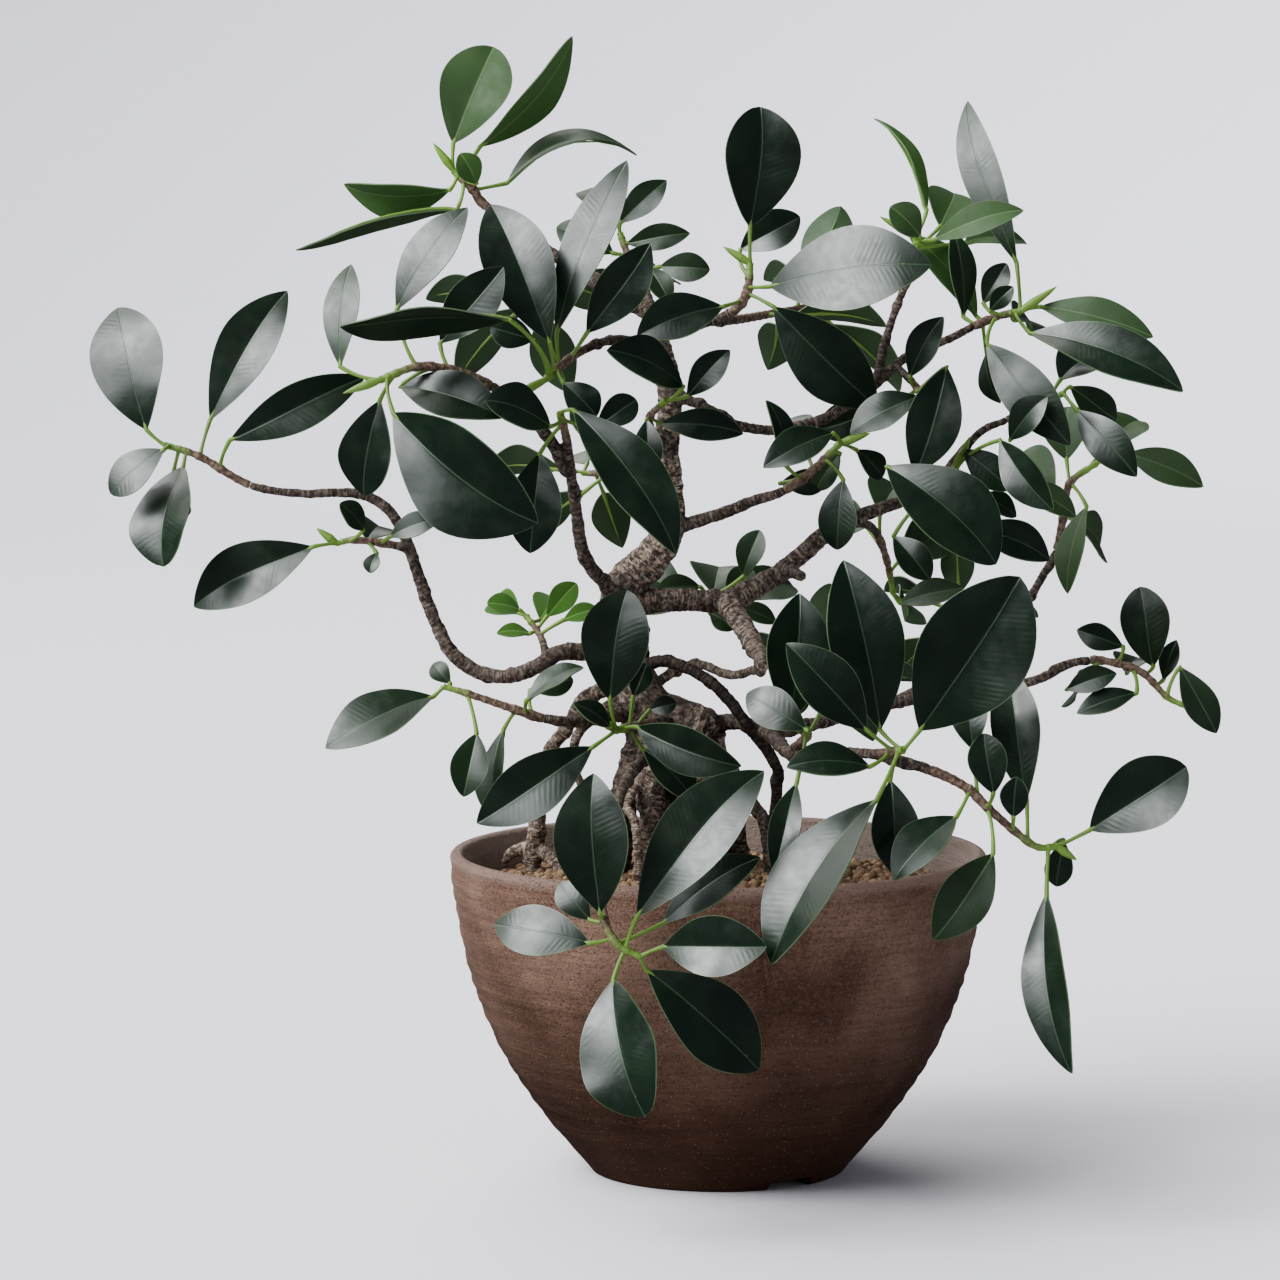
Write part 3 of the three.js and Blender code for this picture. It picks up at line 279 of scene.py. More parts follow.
# Every limb of the wood: its route of read places, its radii, and its shade from 0, dark brown,
# to 1, pale grey. Where roots is true its lower end stands in the soil, straight below its mark.
WOOD = {
    "trunk": {
        "route": [(9, -70, 2), (9, -52, 2), (6, -36, 0), (3, -24, -1), (-3, -11, 0), (-5, 3, 0),
            (-5, 15, 2), (2, 23, 3), (8, 31, 2), (9, 44, 1), (8, 58, 0), (9, 74, 0), (6, 88, 3),
            (3, 98, 4)],
        "radii": [9, 8, 8.5, 8.5, 7.5, 7, 6.5, 5.5, 4.8, 4.2, 3.8, 3.6, 3.2, 2.8],
        "roots": True,
        "shade": 0.62,
    },
    "elbow": {
        "route": [(2, -22, 0), (10, -25, -3), (18, -28, -6), (21.5, -30, -7)],
        "radii": [8, 8.3, 8.3, 5.8],
        "shade": 0.6,
    },
    "elbow_root": {
        "route": [(19, -30, -5), (23, -42, -4), (28, -55, -4), (31, -68, -4)],
        "radii": [7, 4.5, 3.6, 3.2],
        "roots": True,
    },
    "low_stump": {
        "route": [(8, -38, -3), (16, -43, -9), (21, -47, -12)],
        "radii": [7, 6.8, 5.8],
        "shade": 0.4,
    },
    "low_stump_root": {
        "route": [(16, -44, -8), (19, -56, -12), (17, -70, -14)],
        "radii": [6, 4.6, 4],
        "roots": True,
    },
    "left_buttress": {
        "route": [(4, -25, 0), (-2, -40, -4), (-6, -54, -6), (-9, -68, -8)],
        "radii": [6, 5, 4.6, 4],
        "roots": True,
    },
    "front_buttress": {
        "route": [(5, -30, -6), (3, -46, -14), (4, -58, -18), (3, -70, -20)],
        "radii": [5.5, 4.4, 3.8, 3.2],
        "roots": True,
    },
    "back_buttress": {
        "route": [(5, -28, 6), (10, -44, 16), (16, -56, 24), (20, -68, 28)],
        "radii": [6, 5, 4, 3.4],
        "roots": True,
    },
    "arch_root": {
        "route": [(-2, -9, -2), (6, -6.4, -9), (15, -8.8, -13), (24, -15, -17), (33, -26.5, -18),
            (40.5, -37, -15), (41, -46, -12), (39, -70, -4)],
        "radii": [1.9, 1.9, 1.8, 1.8, 1.8, 1.7, 1.7, 1.6],
        "roots": True,
        "shade": 0.0,
    },
    "left_aerial_root": {
        "route": [(-2, -12, 1), (-16, -17, 4), (-21, -25, 8), (-28, -35, 14), (-30, -48, 20),
            (-31, -57, 24), (-34, -64, 26)],
        "radii": [2.6, 2.2, 2, 2, 2, 2.8, 2.2],
        "roots": True,
        "shade": 0.7,
    },
    "left_strand": {
        "route": [(-1, -14, -2), (-17, -26, -8), (-20, -37, -10), (-15, -48, -12), (-10, -60, -13),
            (-9, -70, -13)],
        "radii": [2, 1.6, 1.4, 1.4, 1.4, 1.3],
        "roots": True,
        "shade": 0.5,
    },
    "right_root": {
        "route": [(26, -38, -4), (34, -50, -8), (38, -58, -9), (41, -68, -10)],
        "radii": [2.6, 2.2, 2, 1.8],
        "roots": True,
        "shade": 0.3,
    },
    "pale_root": {
        "route": [(2, -40, -14), (-4, -49, -22), (-1, -58, -27), (1, -71, -29)],
        "radii": [1.4, 1.4, 1.4, 1.3],
        "roots": True,
        "shade": 1.0,
    },
    "surface_root": {
        "route": [(-22, -71, 18), (-27, -65, 22), (-32, -62, 25), (-38, -63.5, 26), (-41, -67, 26)],
        "radii": [1.8, 2, 2.2, 1.8, 1.2],
        "shade": 0.8,
    },
    "right_branch": {
        "route": [(-3, 11, 2), (10, 12, 0), (23, 11.4, 1), (29, 12.6, 3), (36, 16.5, 5),
            (44, 21.6, 6), (56, 32, 6), (67, 37.5, 6), (77, 41, 6)],
        "radii": [4.2, 3.4, 3.3, 3.6, 3.2, 3, 2.6, 2.2, 1.8],
        "shade": 0.3,
    },
    "right_stub": {
        "route": [(41, 20, 6), (45, 20.5, 2), (49, 19, -2)],
        "radii": [2, 1.8, 1.6],
    },
    "front_fork": {
        "route": [(25, 12, 1), (31, 4, -12), (35, -3, -26), (37, -8, -42)],
        "radii": [3.2, 3.2, 2.6, 1.8],
        "shade": 0.55,
    },
    "thin_fork": {
        "route": [(2, -17, -1), (7, -11.5, -1), (16.6, -7.2, -2), (27, -10.5, -12), (34, -9, -24),
            (36, -9, -36)],
        "radii": [1.6, 1.6, 1.4, 1.4, 1.3, 1.3],
        "shade": 0.5,
    },
}

# Every leafy stem: up to the place numbered bark its route is twig, and from there on it is
# green shoot. A leaf is the place on the route where its stalk starts, then the base and the
# tip of its blade, the blade's width, its turn about its own axis in degrees and, where it
# isn't the usual one, its arch. tone runs from 0, an old dark leaf, to 1, a young bright one,
# whose brighter green is partly its own and partly painted light from behind.
LEAFY_STEMS = {
    "leaves_top_left": {
        "route": [(3, 98, 4), (-12, 107, 8), (-28, 117, 11), (-46, 130, 12), (-50, 135, 12),
            (-56, 141, 12)],
        "radii": [2.6, 2.2, 1.9, 1.5, 1.3, 1],
        "bark": 3,
        "bud": (-62, 149, 12),
        "tone": 0.8,
        "tones": {0: 0.66, 3: 0.5, 5: 0.35},
        "leaves": [
            (5, (-56, 149, 13), (-44, 178, 24), 21, 0),
            (4.6, (-48, 148, 17), (-20, 181, 30), 15, 50),
            (4.8, (-57, 135, 10), (-89, 136, 14), 16, -50),
            (4.5, (-55, 129, 7), (-103, 116, -4), 13, -76, -0.07),
            (4.5, (-49, 137, 8), (-54, 146, 2), 8, 0),
            (4, (-40, 137, 16), (-1, 146, 22), 17, -74, 0.2),
        ],
    },
    "leaves_top_back": {
        "route": [(3, 98, 4), (2, 104, 14), (-3, 114, 20), (-6, 122, 24)],
        "radii": [2, 1.3, 1.1, 0.8],
        "bark": 1,
        "tone": 0.35,
        "leaves": [
            (3, (-6, 125, 24), (8, 138, 28), 9, 0),
            (2.6, (-4, 119, 22), (15, 122, 18), 8, 20),
            (1.6, (6, 112, 18), (21, 111, 16), 9, 0),
            (1.5, (2, 112, 12), (9, 101, 6), 8, 0),
            (2.2, (-8, 116, 20), (-25, 124, 24), 11, 0),
            (2.8, (-8, 128, 30), (-14, 136, 50), 14, 0),
            (1.8, (2, 108, 26), (6, 110, 48), 15, 0),
        ],
    },
    "leaves_upper_front": {
        "route": [(6, 87, 2), (-7, 90, -20), (-17, 87, -36), (-24, 82, -48), (-28.5, 78, -56)],
        "radii": [2, 1.5, 1.3, 1.1, 0.9],
        "bark": 2,
        "bud": (-40, 72, -67),
        "tone": 0.0,
        "leaves": [
            (3.4, (-27, 89, -55), (-45, 131, -50), 20, HALF_LIT),
            (3, (-25, 92, -48), (-4, 144, -40), 15, LIT),
            (2.6, (-16, 92, -44), (3, 119, -38), 14, 10),
            (3.8, (-32, 90, -62), (-45, 94, -66), 9, 0),
            (3.2, (-23, 77, -58), (-13, 67, -62), 10, 0),
            (3.6, (-39, 96, -76), (-90, 93, -84), 20, -66, -0.05),
        ],
    },
    "leaves_left_front": {
        "route": [(-22, 50, -40), (-27, 60, -50), (-34, 68, -55), (-45, 76.5, -60), (-57, 81, -63),
            (-67, 82, -66), (-78, 78, -68)],
        "radii": [2, 1.8, 1.6, 1.4, 1.3, 1.1, 0.9],
        "bark": 3,
        "bud": (-89, 74, -70),
        "tone": 0.0,
        "tones": {2: 0.3},
        "leaves": [
            (4, (-60, 89, -60), (-41, 112, -58), 14, 0),
            (5, (-73, 99, -62), (-52, 130, -58), 15, LIT),
            (6, (-90, 82, -66), (-87, 113, -62), 11, LIT),
            (5.8, (-74, 68, -76), (-31, 35, -86), 30, 26),
            (4.6, (-72, 76, -62), (-41, 67, -67), 16, OTHER_HALF_LIT),
            (5.6, (-78, 72, -62), (-83, 43, -60), 16, 0),
        ],
    },
    "leaves_middle_front": {
        "route": [(-5, 11, 0), (-16, 24, -16), (-19, 38, -28), (-21, 52, -40), (-22, 60, -50),
            (-24, 68, -60)],
        "radii": [2.2, 2, 1.8, 1.6, 1.3, 0.9],
        "bark": 4,
        "tone": 0.0,
        "leaves": [
            (4.8, (-27, 64, -66), (-46, 72, -74), 14, 0),
            (4.6, (-30, 56, -54), (-33, 26, -60), 16, 0),
            (5, (-20, 69, -66), (11, 26, -78), 19, 0),
            (4.8, (-13, 64, -54), (-1, 72, -50), 9, 0),
        ],
    },
    "leaves_middle": {
        "route": [(8, 57, 0), (4, 62, -8), (3, 67, -14), (8, 72, -22)],
        "radii": [1.8, 1.3, 1.1, 0.8],
        "bark": 1,
        "tone": 0.0,
        "leaves": [
            (2, (2, 66, -16), (4, 51, -18), 9, 0),
            (2, (6, 65, -13), (31, 62, -12), 10, 0),
            (2.8, (13, 76, -28), (-10, 87, -38), 15, 0),
            (3, (14, 73, -22), (27, 87, -18), 9, 0),
        ],
    },
    "leaves_top_middle": {
        "route": [(3, 97, 4), (15, 94.5, 2), (27, 98, 0), (32, 104, -1), (33, 113, 1)],
        "radii": [2, 1.5, 1.4, 1.3, 0.9],
        "bark": 2,
        "bud": (25, 118, 2),
        "tone": 0.05,
        "leaves": [
            (4, (33, 124, 1), (36, 160, 8), 23, 0),
            (3.6, (30, 117, 14), (48, 127, 18), 12, 0),
            (3.2, (39, 106, -10), (87, 113, -18), 27, LIT),
            (3, (40, 100, -6), (71, 70, -4), 20, 15),
            (2.6, (25, 100, -12), (-1, 91, -26), 15, 0),
        ],
    },
    "leaves_top_right": {
        "route": [(71, 78, -2), (74, 91, 4), (79, 105, 8), (83, 112, 10), (82.5, 121, 10)],
        "radii": [1.5, 1.3, 1.2, 1.1, 0.8],
        "bark": 2,
        "bud": (72, 127, 10),
        "tone": 0.65,
        "tones": {0: 0.85},
        "leaves": [
            (4, (86, 129, 12), (71, 157, 20), 12, 74),
            (3.6, (84, 121, 4), (75, 130, 0), 10, 0),
            (3.8, (88, 120, 4), (115, 129, 0), 10, 0),
            (3.6, (97, 119, 22), (116, 119, 28), 12, -60),
            (3.6, (90, 124, 20), (94, 134, 40), 16, 0),
            (2.6, (76, 108, 16), (66, 116, 34), 16, 0),
        ],
    },
    "leaves_right_high": {
        "route": [(9, 74, 0), (17, 71, -4), (23, 67.5, -6), (29, 64.5, -6), (40, 63, -5),
            (54, 66, -4), (63, 71, -3), (71, 77, -2), (80, 85, 0), (92, 90, 2), (100, 94, 3),
            (107, 97, 4), (114, 98.5, 4)],
        "radii": [2, 1.6, 2, 1.6, 1.6, 1.6, 1.6, 1.5, 1.4, 1.3, 1.2, 1, 0.9],
        "bark": 10,
        "bud": (125, 106, 4),
        "tone": 0.2,
        "tones": {2: 0.8, 5: 0.6, 6: 0.05, 7: 0.15},
        "leaves": [
            (12, (113, 113, 14), (98, 162, 24), 12, LIT),
            (10.3, (97, 97, 12), (94, 123, 15), 9, 20),
            (10.6, (101, 97, 18), (81, 121, 24), 14, 45),
            (11, (103, 101, 7), (110, 113, 8), 8, 0),
            (11.4, (105, 99, -2), (112, 106, -8), 6, 0),
            (12, (120, 100, 7), (154, 91, 4), 12, 0),
            (11.8, (117, 92, -4), (163, 75, -12), 18, -22),
            (11, (104, 89, -4), (129, 58.5, -12), 15, LIT),
            (10.4, (104, 86, 10), (108, 71, 8), 8, 40),
            (11.6, (112, 96, 20), (118, 92, 44), 16, 0),
        ],
    },
    "leaves_right_inner": {
        "route": [(77, 82, -2), (82, 77, -8), (84, 74, -14)],
        "radii": [1.3, 1.1, 0.9],
        "bark": 1,
        "tone": 0.05,
        "leaves": [
            (1.4, (81, 79, -13), (91, 97, -16), 10, 0),
            (1.8, (92, 82, -14), (82.5, 50, -18), 16, -22),
            (2, (84, 73, -19), (63, 62, -24), 12, 0),
            (1.6, (74, 70, 2), (53, 63, 8), 12, -24),
        ],
    },
    "leaves_right_tip": {
        "route": [(77, 41, 6), (83, 44, 5), (90, 49, 3), (97, 57, 2), (103, 63, 2), (110, 66, 1),
            (120, 70.5, 0), (127, 74, 0)],
        "radii": [1.8, 1.5, 1.4, 1.3, 1.2, 1.1, 1, 0.8],
        "bark": 5,
        "tone": 0.1,
        "tones": {1: 0.35},
        "leaves": [
            (6, (111, 60, -16), (122, 73, -20), 10, 0),
            (7, (129, 76, 3), (143, 66, 4), 10, 0),
            (7, (131, 69, -6), (149, 49, -12), 12, LIT),
            (6.4, (126, 78, 12), (134, 84, 32), 14, 0),
        ],
    },
    "leaves_right_middle": {
        "route": [(84, 44, 4), (88, 44, -2), (91, 46, -8), (95, 52, -12)],
        "radii": [1.4, 1.2, 1.1, 0.8],
        "bark": 1,
        "bud": (99, 61, -14),
        "tone": 0.05,
        "tones": {3: 0.6},
        "leaves": [
            (2, (74, 52, -24), (107, 23, -32), 25, -10),
            (2.6, (97, 57, -14), (112, 45, -18), 10, 0),
            (3, (108, 60, -22), (124, 39, -26), 12, HALF_LIT),
            (2.4, (112, 47, -8), (131, 37, -8), 9, 0),
            (1.6, (100, 43, 0), (113, 37, 2), 8, 0),
            (1.5, (100, 34, -6), (123, 24, -8), 12, 0),
            (1.2, (76, 31, -4), (87, 18, -6), 10, 0),
        ],
    },
    "leaves_back_right": {
        "route": [(76, -19, 4), (96, -8, 18), (111, 6, 30), (117, 13, 35), (121, 19.5, 38),
            (125, 27, 40), (127, 37, 40), (129, 47, 38), (137, 53, 34)],
        "radii": [1.8, 1.6, 1.5, 1.4, 1.3, 1.3, 1.2, 1.1, 0.8],
        "bark": 5,
        "tone": 0.6,
        "leaves": [
            (8, (146, 56, 30), (169, 46, 26), 11, 0),
            (7, (134, 40, 32), (128, 14, 30), 10, 20),
            (6.4, (124, 42, 48), (114, 56, 62), 16, 0),
            (7, (128, 54, 44), (128, 70, 56), 15, 0),
            (6, (130, 36, 48), (138, 26, 66), 16, 0),
            (7.6, (140, 58, 42), (150, 66, 56), 14, 0),
        ],
    },
    "leaves_behind_right": {
        "route": [(100, -5, 21), (98, 1, 34), (96, 5, 46), (95, 8, 56)],
        "radii": [1.5, 1.3, 1.1, 0.8],
        "bark": 1,
        "tone": 0.4,
        "rule": {"from": 1.3, "count": 5, "length": 24, "width": 13, "seed": 11},
    },
    "leaves_middle_right": {
        "route": [(9, 33, 2), (23, 37.5, -1), (35, 42, -3), (43.5, 45, -5), (52, 51, -6),
            (60, 59, -6)],
        "radii": [2.2, 1.8, 1.6, 1.4, 1.2, 0.9],
        "bark": 3,
        "bud": (69, 62, -6),
        "tone": 0.1,
        "tones": {2: 0.5},
        "leaves": [
            (5, (58, 62, -12), (37, 52, -20), 12, 0),
            (3.6, (44, 52, -12), (38, 72, -14), 8, 20),
            (4.6, (60, 56, 0), (53, 45, 4), 8, 0),
            (4.4, (61, 48, -15), (59, 27, -20), 12, 0),
            (3.5, (42, 47, 2), (57, 48, 6), 8, 30),
            (4, (50, 56, 4), (44, 66, 20), 13, 0),
        ],
        "tiny": [
            (5, (65, 57, -2), (73, 49, 0), 8, 0),
        ],
    },
    "leaves_lower_right": {
        "route": [(14, -27, 0), (28, -24.5, -6), (39, -28.5, -22), (46, -34.5, -46), (61, -34, -70),
            (72, -34, -84), (79, -33, -90)],
        "radii": [3, 2.4, 2.1, 1.9, 1.7, 1.4, 1],
        "bark": 5,
        "tone": 0.0,
        "leaves": [
            (6, (72, -27, -84), (61, 24, -74), 22, 0),
            (6, (84, -27, -88), (114, 19, -94), 31, 0),
            (5.6, (68, -27, -92), (44, -1, -98), 16, 0),
            (5.4, (69, -38, -96), (44, -38, -104), 12, 0),
            (5.8, (71, -48, -100), (39, -97, -116), 25, HALF_LIT),
            (5.8, (75, -42, -88), (77, -71, -92), 14, 0),
        ],
    },
    "leaves_lower_middle": {
        "route": [(46, -34.5, -46), (48, -31, -54), (50, -29, -62), (50, -27, -70)],
        "radii": [1.8, 1.4, 1.2, 0.9],
        "bark": 1,
        "tone": 0.05,
        "leaves": [
            (2, (45, -24, -66), (48, 14, -58), 19, 0),
            (3, (50, -27, -80), (32, -16, -88), 12, LIT),
            (2.4, (47, -43, -74), (40, -70, -86), 9, 20),
            (2, (54, -22, -60), (62, -4, -50), 13, 0),
        ],
    },
    "leaves_lower_right_tip": {
        "route": [(70, -34, -81), (87, -39, -84), (97.5, -44, -84), (104, -50, -84),
            (112, -57, -82), (119, -62, -80), (125, -62, -78)],
        "radii": [1.7, 1.5, 1.3, 1.2, 1.1, 1, 0.8],
        "bark": 1,
        "bud": (131, -66, -78),
        "tone": 0.1,
        "tones": {1: 0.4},
        "leaves": [
            (2.2, (95, -53, -92), (76, -72, -102), 14, 0),
            (3, (106, -64, -90), (88, -90, -98), 15, 0),
            (6, (135, -57, -76), (164, -38, -70), 20, 0),
            (5.6, (122, -76, -84), (129, -130, -82), 15, HALF_LIT),
            (5.8, (127, -60, -70), (125, -74, -66), 8, 0),
            (4, (112, -53, -90), (113, -41, -94), 8, 0),
            (4.6, (116, -48, -76), (110, -8, -70), 14, 0),
            (3, (106, -46, -92), (103, -28, -96), 11, 0),
            (2.6, (100, -33, -80), (99, -14, -76), 11, 0),
        ],
    },
    "leaves_right_low": {
        "route": [(39, -28.5, -22), (57, -24, -2), (76, -19, 4), (96, -16, 4), (110, -14, 4),
            (120, -11.6, 4), (128, -7.5, 4), (135, -6, 4), (143, -7, 3), (151, -10, 2),
            (158, -17, 1), (164, -20, 0)],
        "radii": [2.1, 1.9, 1.8, 1.6, 1.5, 1.4, 1.4, 1.2, 1.1, 1, 0.9, 0.8],
        "bark": 7,
        "tone": 0.15,
        "tones": {5: 0.3},
        "leaves": [
            (8, (145, -2, 9), (131, 3, 13), 8, 0),
            (9, (154, -8, 10), (150, 16, 14), 15, 0),
            (7.4, (128, -15, -3), (143, -10, -6), 8, 0),
            (8.6, (149, -16, -4), (131, -22, -8), 8, 0),
            (9.4, (157, -12, 14), (161, 0, 18), 6, 0),
            (10, (162, -8, 2), (173, -28, 0), 10, 20),
            (8.4, (146, -10, 14), (150, -6, 36), 14, 0),
            (7.2, (136, -12, 14), (130, -18, 32), 13, 0),
        ],
    },
    "leaves_behind_low": {
        "route": [(57, -24, -2), (58, -20, 14), (58, -16, 28), (57, -12, 40), (55, -9, 52)],
        "radii": [1.9, 1.5, 1.2, 1, 0.8],
        "bark": 2,
        "tone": 0.3,
        "rule": {"from": 2.2, "count": 5, "length": 26, "width": 14, "seed": 23},
    },
    "leaves_behind_middle": {
        "route": [(22, 11.5, 1), (22, 12, 18), (21, 13, 34), (20, 13, 50), (20, 12, 62)],
        "radii": [2.2, 1.8, 1.5, 1.2, 0.8],
        "bark": 2,
        "tone": 0.4,
        "leaves": [
            (3, (18, 16, 46), (5, 15, 44), 8, 0),
            (2.6, (28, 10, 42), (41, 5, 42), 7, 0),
            (2.4, (31, 19, 36), (36, 33, 40), 9, 0),
            (4, (22, 14, 72), (24, 22, 96), 18, 0),
            (3.8, (14, 10, 66), (2, 12, 88), 17, 0),
            (3.2, (14, 12, 60), (-6, 22, 70), 16, 0),
            (3.9, (28, 12, 70), (46, 16, 84), 16, 0),
        ],
        "tiny": [
            (3.4, (26, 13, 52), (34, 21, 52), 10, 0),
            (3, (21, 8, 48), (28, 3, 46), 8, 0),
        ],
    },
    "leaves_behind_right_middle": {
        "route": [(60, 34.5, 6), (67, 35, 18), (71, 32, 32), (74, 24, 42), (76, 14, 48)],
        "radii": [1.6, 1.4, 1.2, 1, 0.8],
        "bark": 2,
        "tone": 0.45,
        "leaves": [
            (4, (78, 11, 48), (97, 15.6, 46), 9, 0),
            (3, (68, 34, 48), (60, 34, 66), 15, 0),
            (3.4, (78, 24, 48), (90, 32, 62), 15, 0),
            (2.4, (72, 38, 34), (78, 46, 52), 16, 0),
            (4, (78, 12, 56), (80, 6, 76), 15, 0),
        ],
    },
    "leaves_behind_left": {
        "route": [(8.5, 47, 1), (2, 49, 18), (-6, 50, 34), (-12, 50, 48), (-17, 50, 60)],
        "radii": [2.4, 1.8, 1.4, 1.1, 0.8],
        "bark": 2,
        "tone": 0.3,
        "rule": {"from": 2.2, "count": 6, "length": 27, "width": 15, "seed": 37},
    },
    "leaves_behind_high": {
        "route": [(-20, 112, 10), (-24, 110, 22), (-29, 106, 34), (-33, 103, 46), (-36, 102, 56)],
        "radii": [1.6, 1.4, 1.2, 1, 0.8],
        "bark": 1,
        "tone": 0.35,
        "rule": {"from": 1.6, "count": 6, "length": 26, "width": 14, "seed": 41},
    },
    "leaves_behind_top": {
        "route": [(18, 95.5, 2), (28, 96, 18), (40, 98, 32), (50, 100, 44), (56, 102, 54)],
        "radii": [1.6, 1.4, 1.2, 1, 0.8],
        "bark": 1,
        "tone": 0.4,
        "rule": {"from": 1.8, "count": 6, "length": 28, "width": 15, "seed": 59},
    },
    "leaves_left_low": {
        "route": [(0, -3, 0), (-16.5, -3.6, -4), (-24, -4, -6), (-32, -8.5, -7), (-41, -11, -6),
            (-50, -9, -4), (-57, -3, -2), (-63, 9, 0), (-67, 21, 1), (-71, 32, 1), (-76.5, 40, 0),
            (-85.5, 44, -1), (-102, 44, -3), (-117, 46.5, -4), (-132, 55, -4), (-142.5, 58.5, -4)],
        "radii": [3.4, 2.8, 2.4, 2.3, 2.2, 2.2, 2.1, 2, 1.8, 1.7, 1.6, 1.5, 1.3, 1.2, 1, 0.8],
        "bark": 13,
        "tone": 0.1,
        "leaves": [
            (15, (-148, 63, -3), (-157, 100, 4), 23, LIT),
            (14.9, (-143, 57, -12), (-159, 44, -16), 13, LIT),
            (14.4, (-137, 52, -6), (-143, 22, -12), 23, HALF_LIT),
            (14, (-129, 66, 0), (-106, 105, 6), 17, HALF_LIT),
            (13.6, (-123, 60, -8), (-82.5, 79, -14), 14, 12),
            (14.6, (-140, 50, 8), (-141, 38, 30), 14, 0),
        ],
    },
    "leaves_left_side": {
        "route": [(-69, 27, 1), (-74, 28.5, -2), (-85.5, 30, -4), (-91, 29, -5)],
        "radii": [1.6, 1.2, 1, 0.8],
        "bark": 1,
        "bud": (-97, 33.5, -5),
        "tone": 0.15,
        "leaves": [
            (3, (-98, 28, -8), (-134, 10, -14), 18, OTHER_HALF_LIT),
            (1.3, (-75, 31, -8), (-60, 36, -12), 8, 0),
            (2, (-82, 30, 6), (-78, 34, 26), 14, 0),
        ],
        "tiny": [
            (1.7, (-79, 26, -6), (-81, 20, -8), 5, 0),
            (2.4, (-83, 33, -8), (-90, 41, -12), 8, 0),
        ],
    },
    "leaves_left_inner": {
        "route": [(-28, -6, -7), (-29, -1, 2), (-31, 3, 10), (-34, 7, 14)],
        "radii": [1.6, 1.1, 0.9, 0.8],
        "bark": 1,
        "tone": 0.95,
        "leaves": [
            (2, (-28, 7, 14), (-19, 17, 18), 8, 0),
            (3, (-36, 8, 20), (-45, 11, 36), 10, 0),
            (2.6, (-30, 6, 22), (-24, 12, 44), 12, 0),
        ],
        "tiny": [
            (3, (-36, 9, 14), (-46, 11, 12), 7, 0),
            (2, (-33, 2, 8), (-43, 2, 6), 5, 0),
            (1.6, (-23, 6, 8), (-12, 9, 8), 6, 0),
        ],
    },
    "leaves_left_bottom": {
        "route": [(-3, -22, -4), (-12, -23.5, -12), (-19.5, -24.6, -22), (-29, -23.5, -26),
            (-37, -21, -27), (-52, -16, -27), (-59, -14, -27)],
        "radii": [2.4, 2, 1.7, 1.4, 1.2, 1, 0.8],
        "bark": 3,
        "tone": 0.3,
        "tones": {0: 0.2},
        "leaves": [
            (6, (-62, -17, -28), (-94.5, -32, -34), 17, 0),
            (5, (-49, -28, -32), (-53, -47, -36), 11, 0),
            (4, (-41, -27, -26), (-42.5, -56, -30), 12, 50),
            (3.6, (-34, -18, -34), (-17, -8, -36), 8, -45),
            (3.4, (-33, -15, -22), (-20, -12, -14), 8, 0),
        ],
        "tiny": [
            (5.8, (-57, -13, -22), (-62, -7, -18), 6, 0),
        ],
    },
    "leaves_trunk_front": {
        "route": [(9, -24, -7), (4, -25, -20), (-2, -26, -32), (-7, -27, -40)],
        "radii": [2.2, 1.6, 1.3, 1],
        "bark": 1,
        "bud": (-14, -23, -46),
        "tone": 0.05,
        "leaves": [
            (3, (-9, -18, -44), (-4, 15, -42), 20, 10),
            (3, (-14, -32, -46), (-49, -55, -54), 17, -14),
            (2.6, (-1, -26, -42), (30, -38, -50), 14, 26),
            (3, (-9, -26, -50), (-20, -19, -56), 7, 0),
            (2.3, (1, -33, -34), (16, -48, -38), 12, 0),
        ],
        "tiny": [
            (2.2, (-2, -17, -34), (2, -7, -34), 7, 0),
            (1.8, (3, -21, -30), (11, -19, -32), 6, 0),
        ],
    },
    "leaves_before_pot": {
        "route": [(6, -32, -10), (0, -37, -30), (-5, -44, -58), (-8, -56, -80), (-11, -72, -92),
            (-11, -83, -99), (-7, -91, -102), (0, -95, -102)],
        "radii": [2, 1.8, 1.6, 1.4, 1.3, 1.2, 1, 0.8],
        "bark": 3,
        "tone": 0.05,
        "leaves": [
            (5, (-12, -82, -108), (-14, -40, -104), 21, 0),
            (6.4, (-1, -83, -105), (37, -39, -108), 21, HALF_LIT),
            (6, (7, -85, -98), (36, -65, -98), 13, LIT),
            (5.8, (-15, -91, -102), (-44, -85, -100), 15, LIT),
            (7, (7, -92, -104), (38, -92, -106), 17, HALF_LIT),
            (6.4, (-8, -102, -104), (1, -143, -96), 26, HALF_LIT),
            (7, (2, -99, -100), (36, -129, -94), 22, 0),
            (5.2, (-15, -84, -97), (-24, -73, -95), 9, LIT),
        ],
    },
}


def seen(place):
    """A read place in metres, in the part's own frame."""
    across, up, back = place
    forward = READING_DISTANCE * math.cos(VIEW_TILT) + up * math.sin(VIEW_TILT)
    rise = up * math.cos(VIEW_TILT) - READING_DISTANCE * math.sin(VIEW_TILT)
    reach = (back - VIEW_POINT.y) / forward
    millimetres = Vector((VIEW_POINT.x + reach * across, back, VIEW_POINT.z + reach * rise))
    return AXIS + millimetres * MM


def limited(value, low=0.0, high=1.0):
    """The value, or the nearer end where it lies outside low and high."""
    return min(max(value, low), high)


def draws(seed):
    """A small seeded generator, the same as the one behind the solids."""
    state = seed
    while True:
        state = (state * DRAW_FACTOR + DRAW_STEP) % DRAW_RANGE
        yield state / DRAW_RANGE


def between(random, low, high):
    """The next draw, between low and high."""
    return low + (high - low) * next(random)


# Routes

def heading(route, index):
    """The direction of a route at one of its points."""
    before = route[max(index - 1, 0)]
    after = route[min(index + 1, len(route) - 1)]
    return (after - before).normalized()


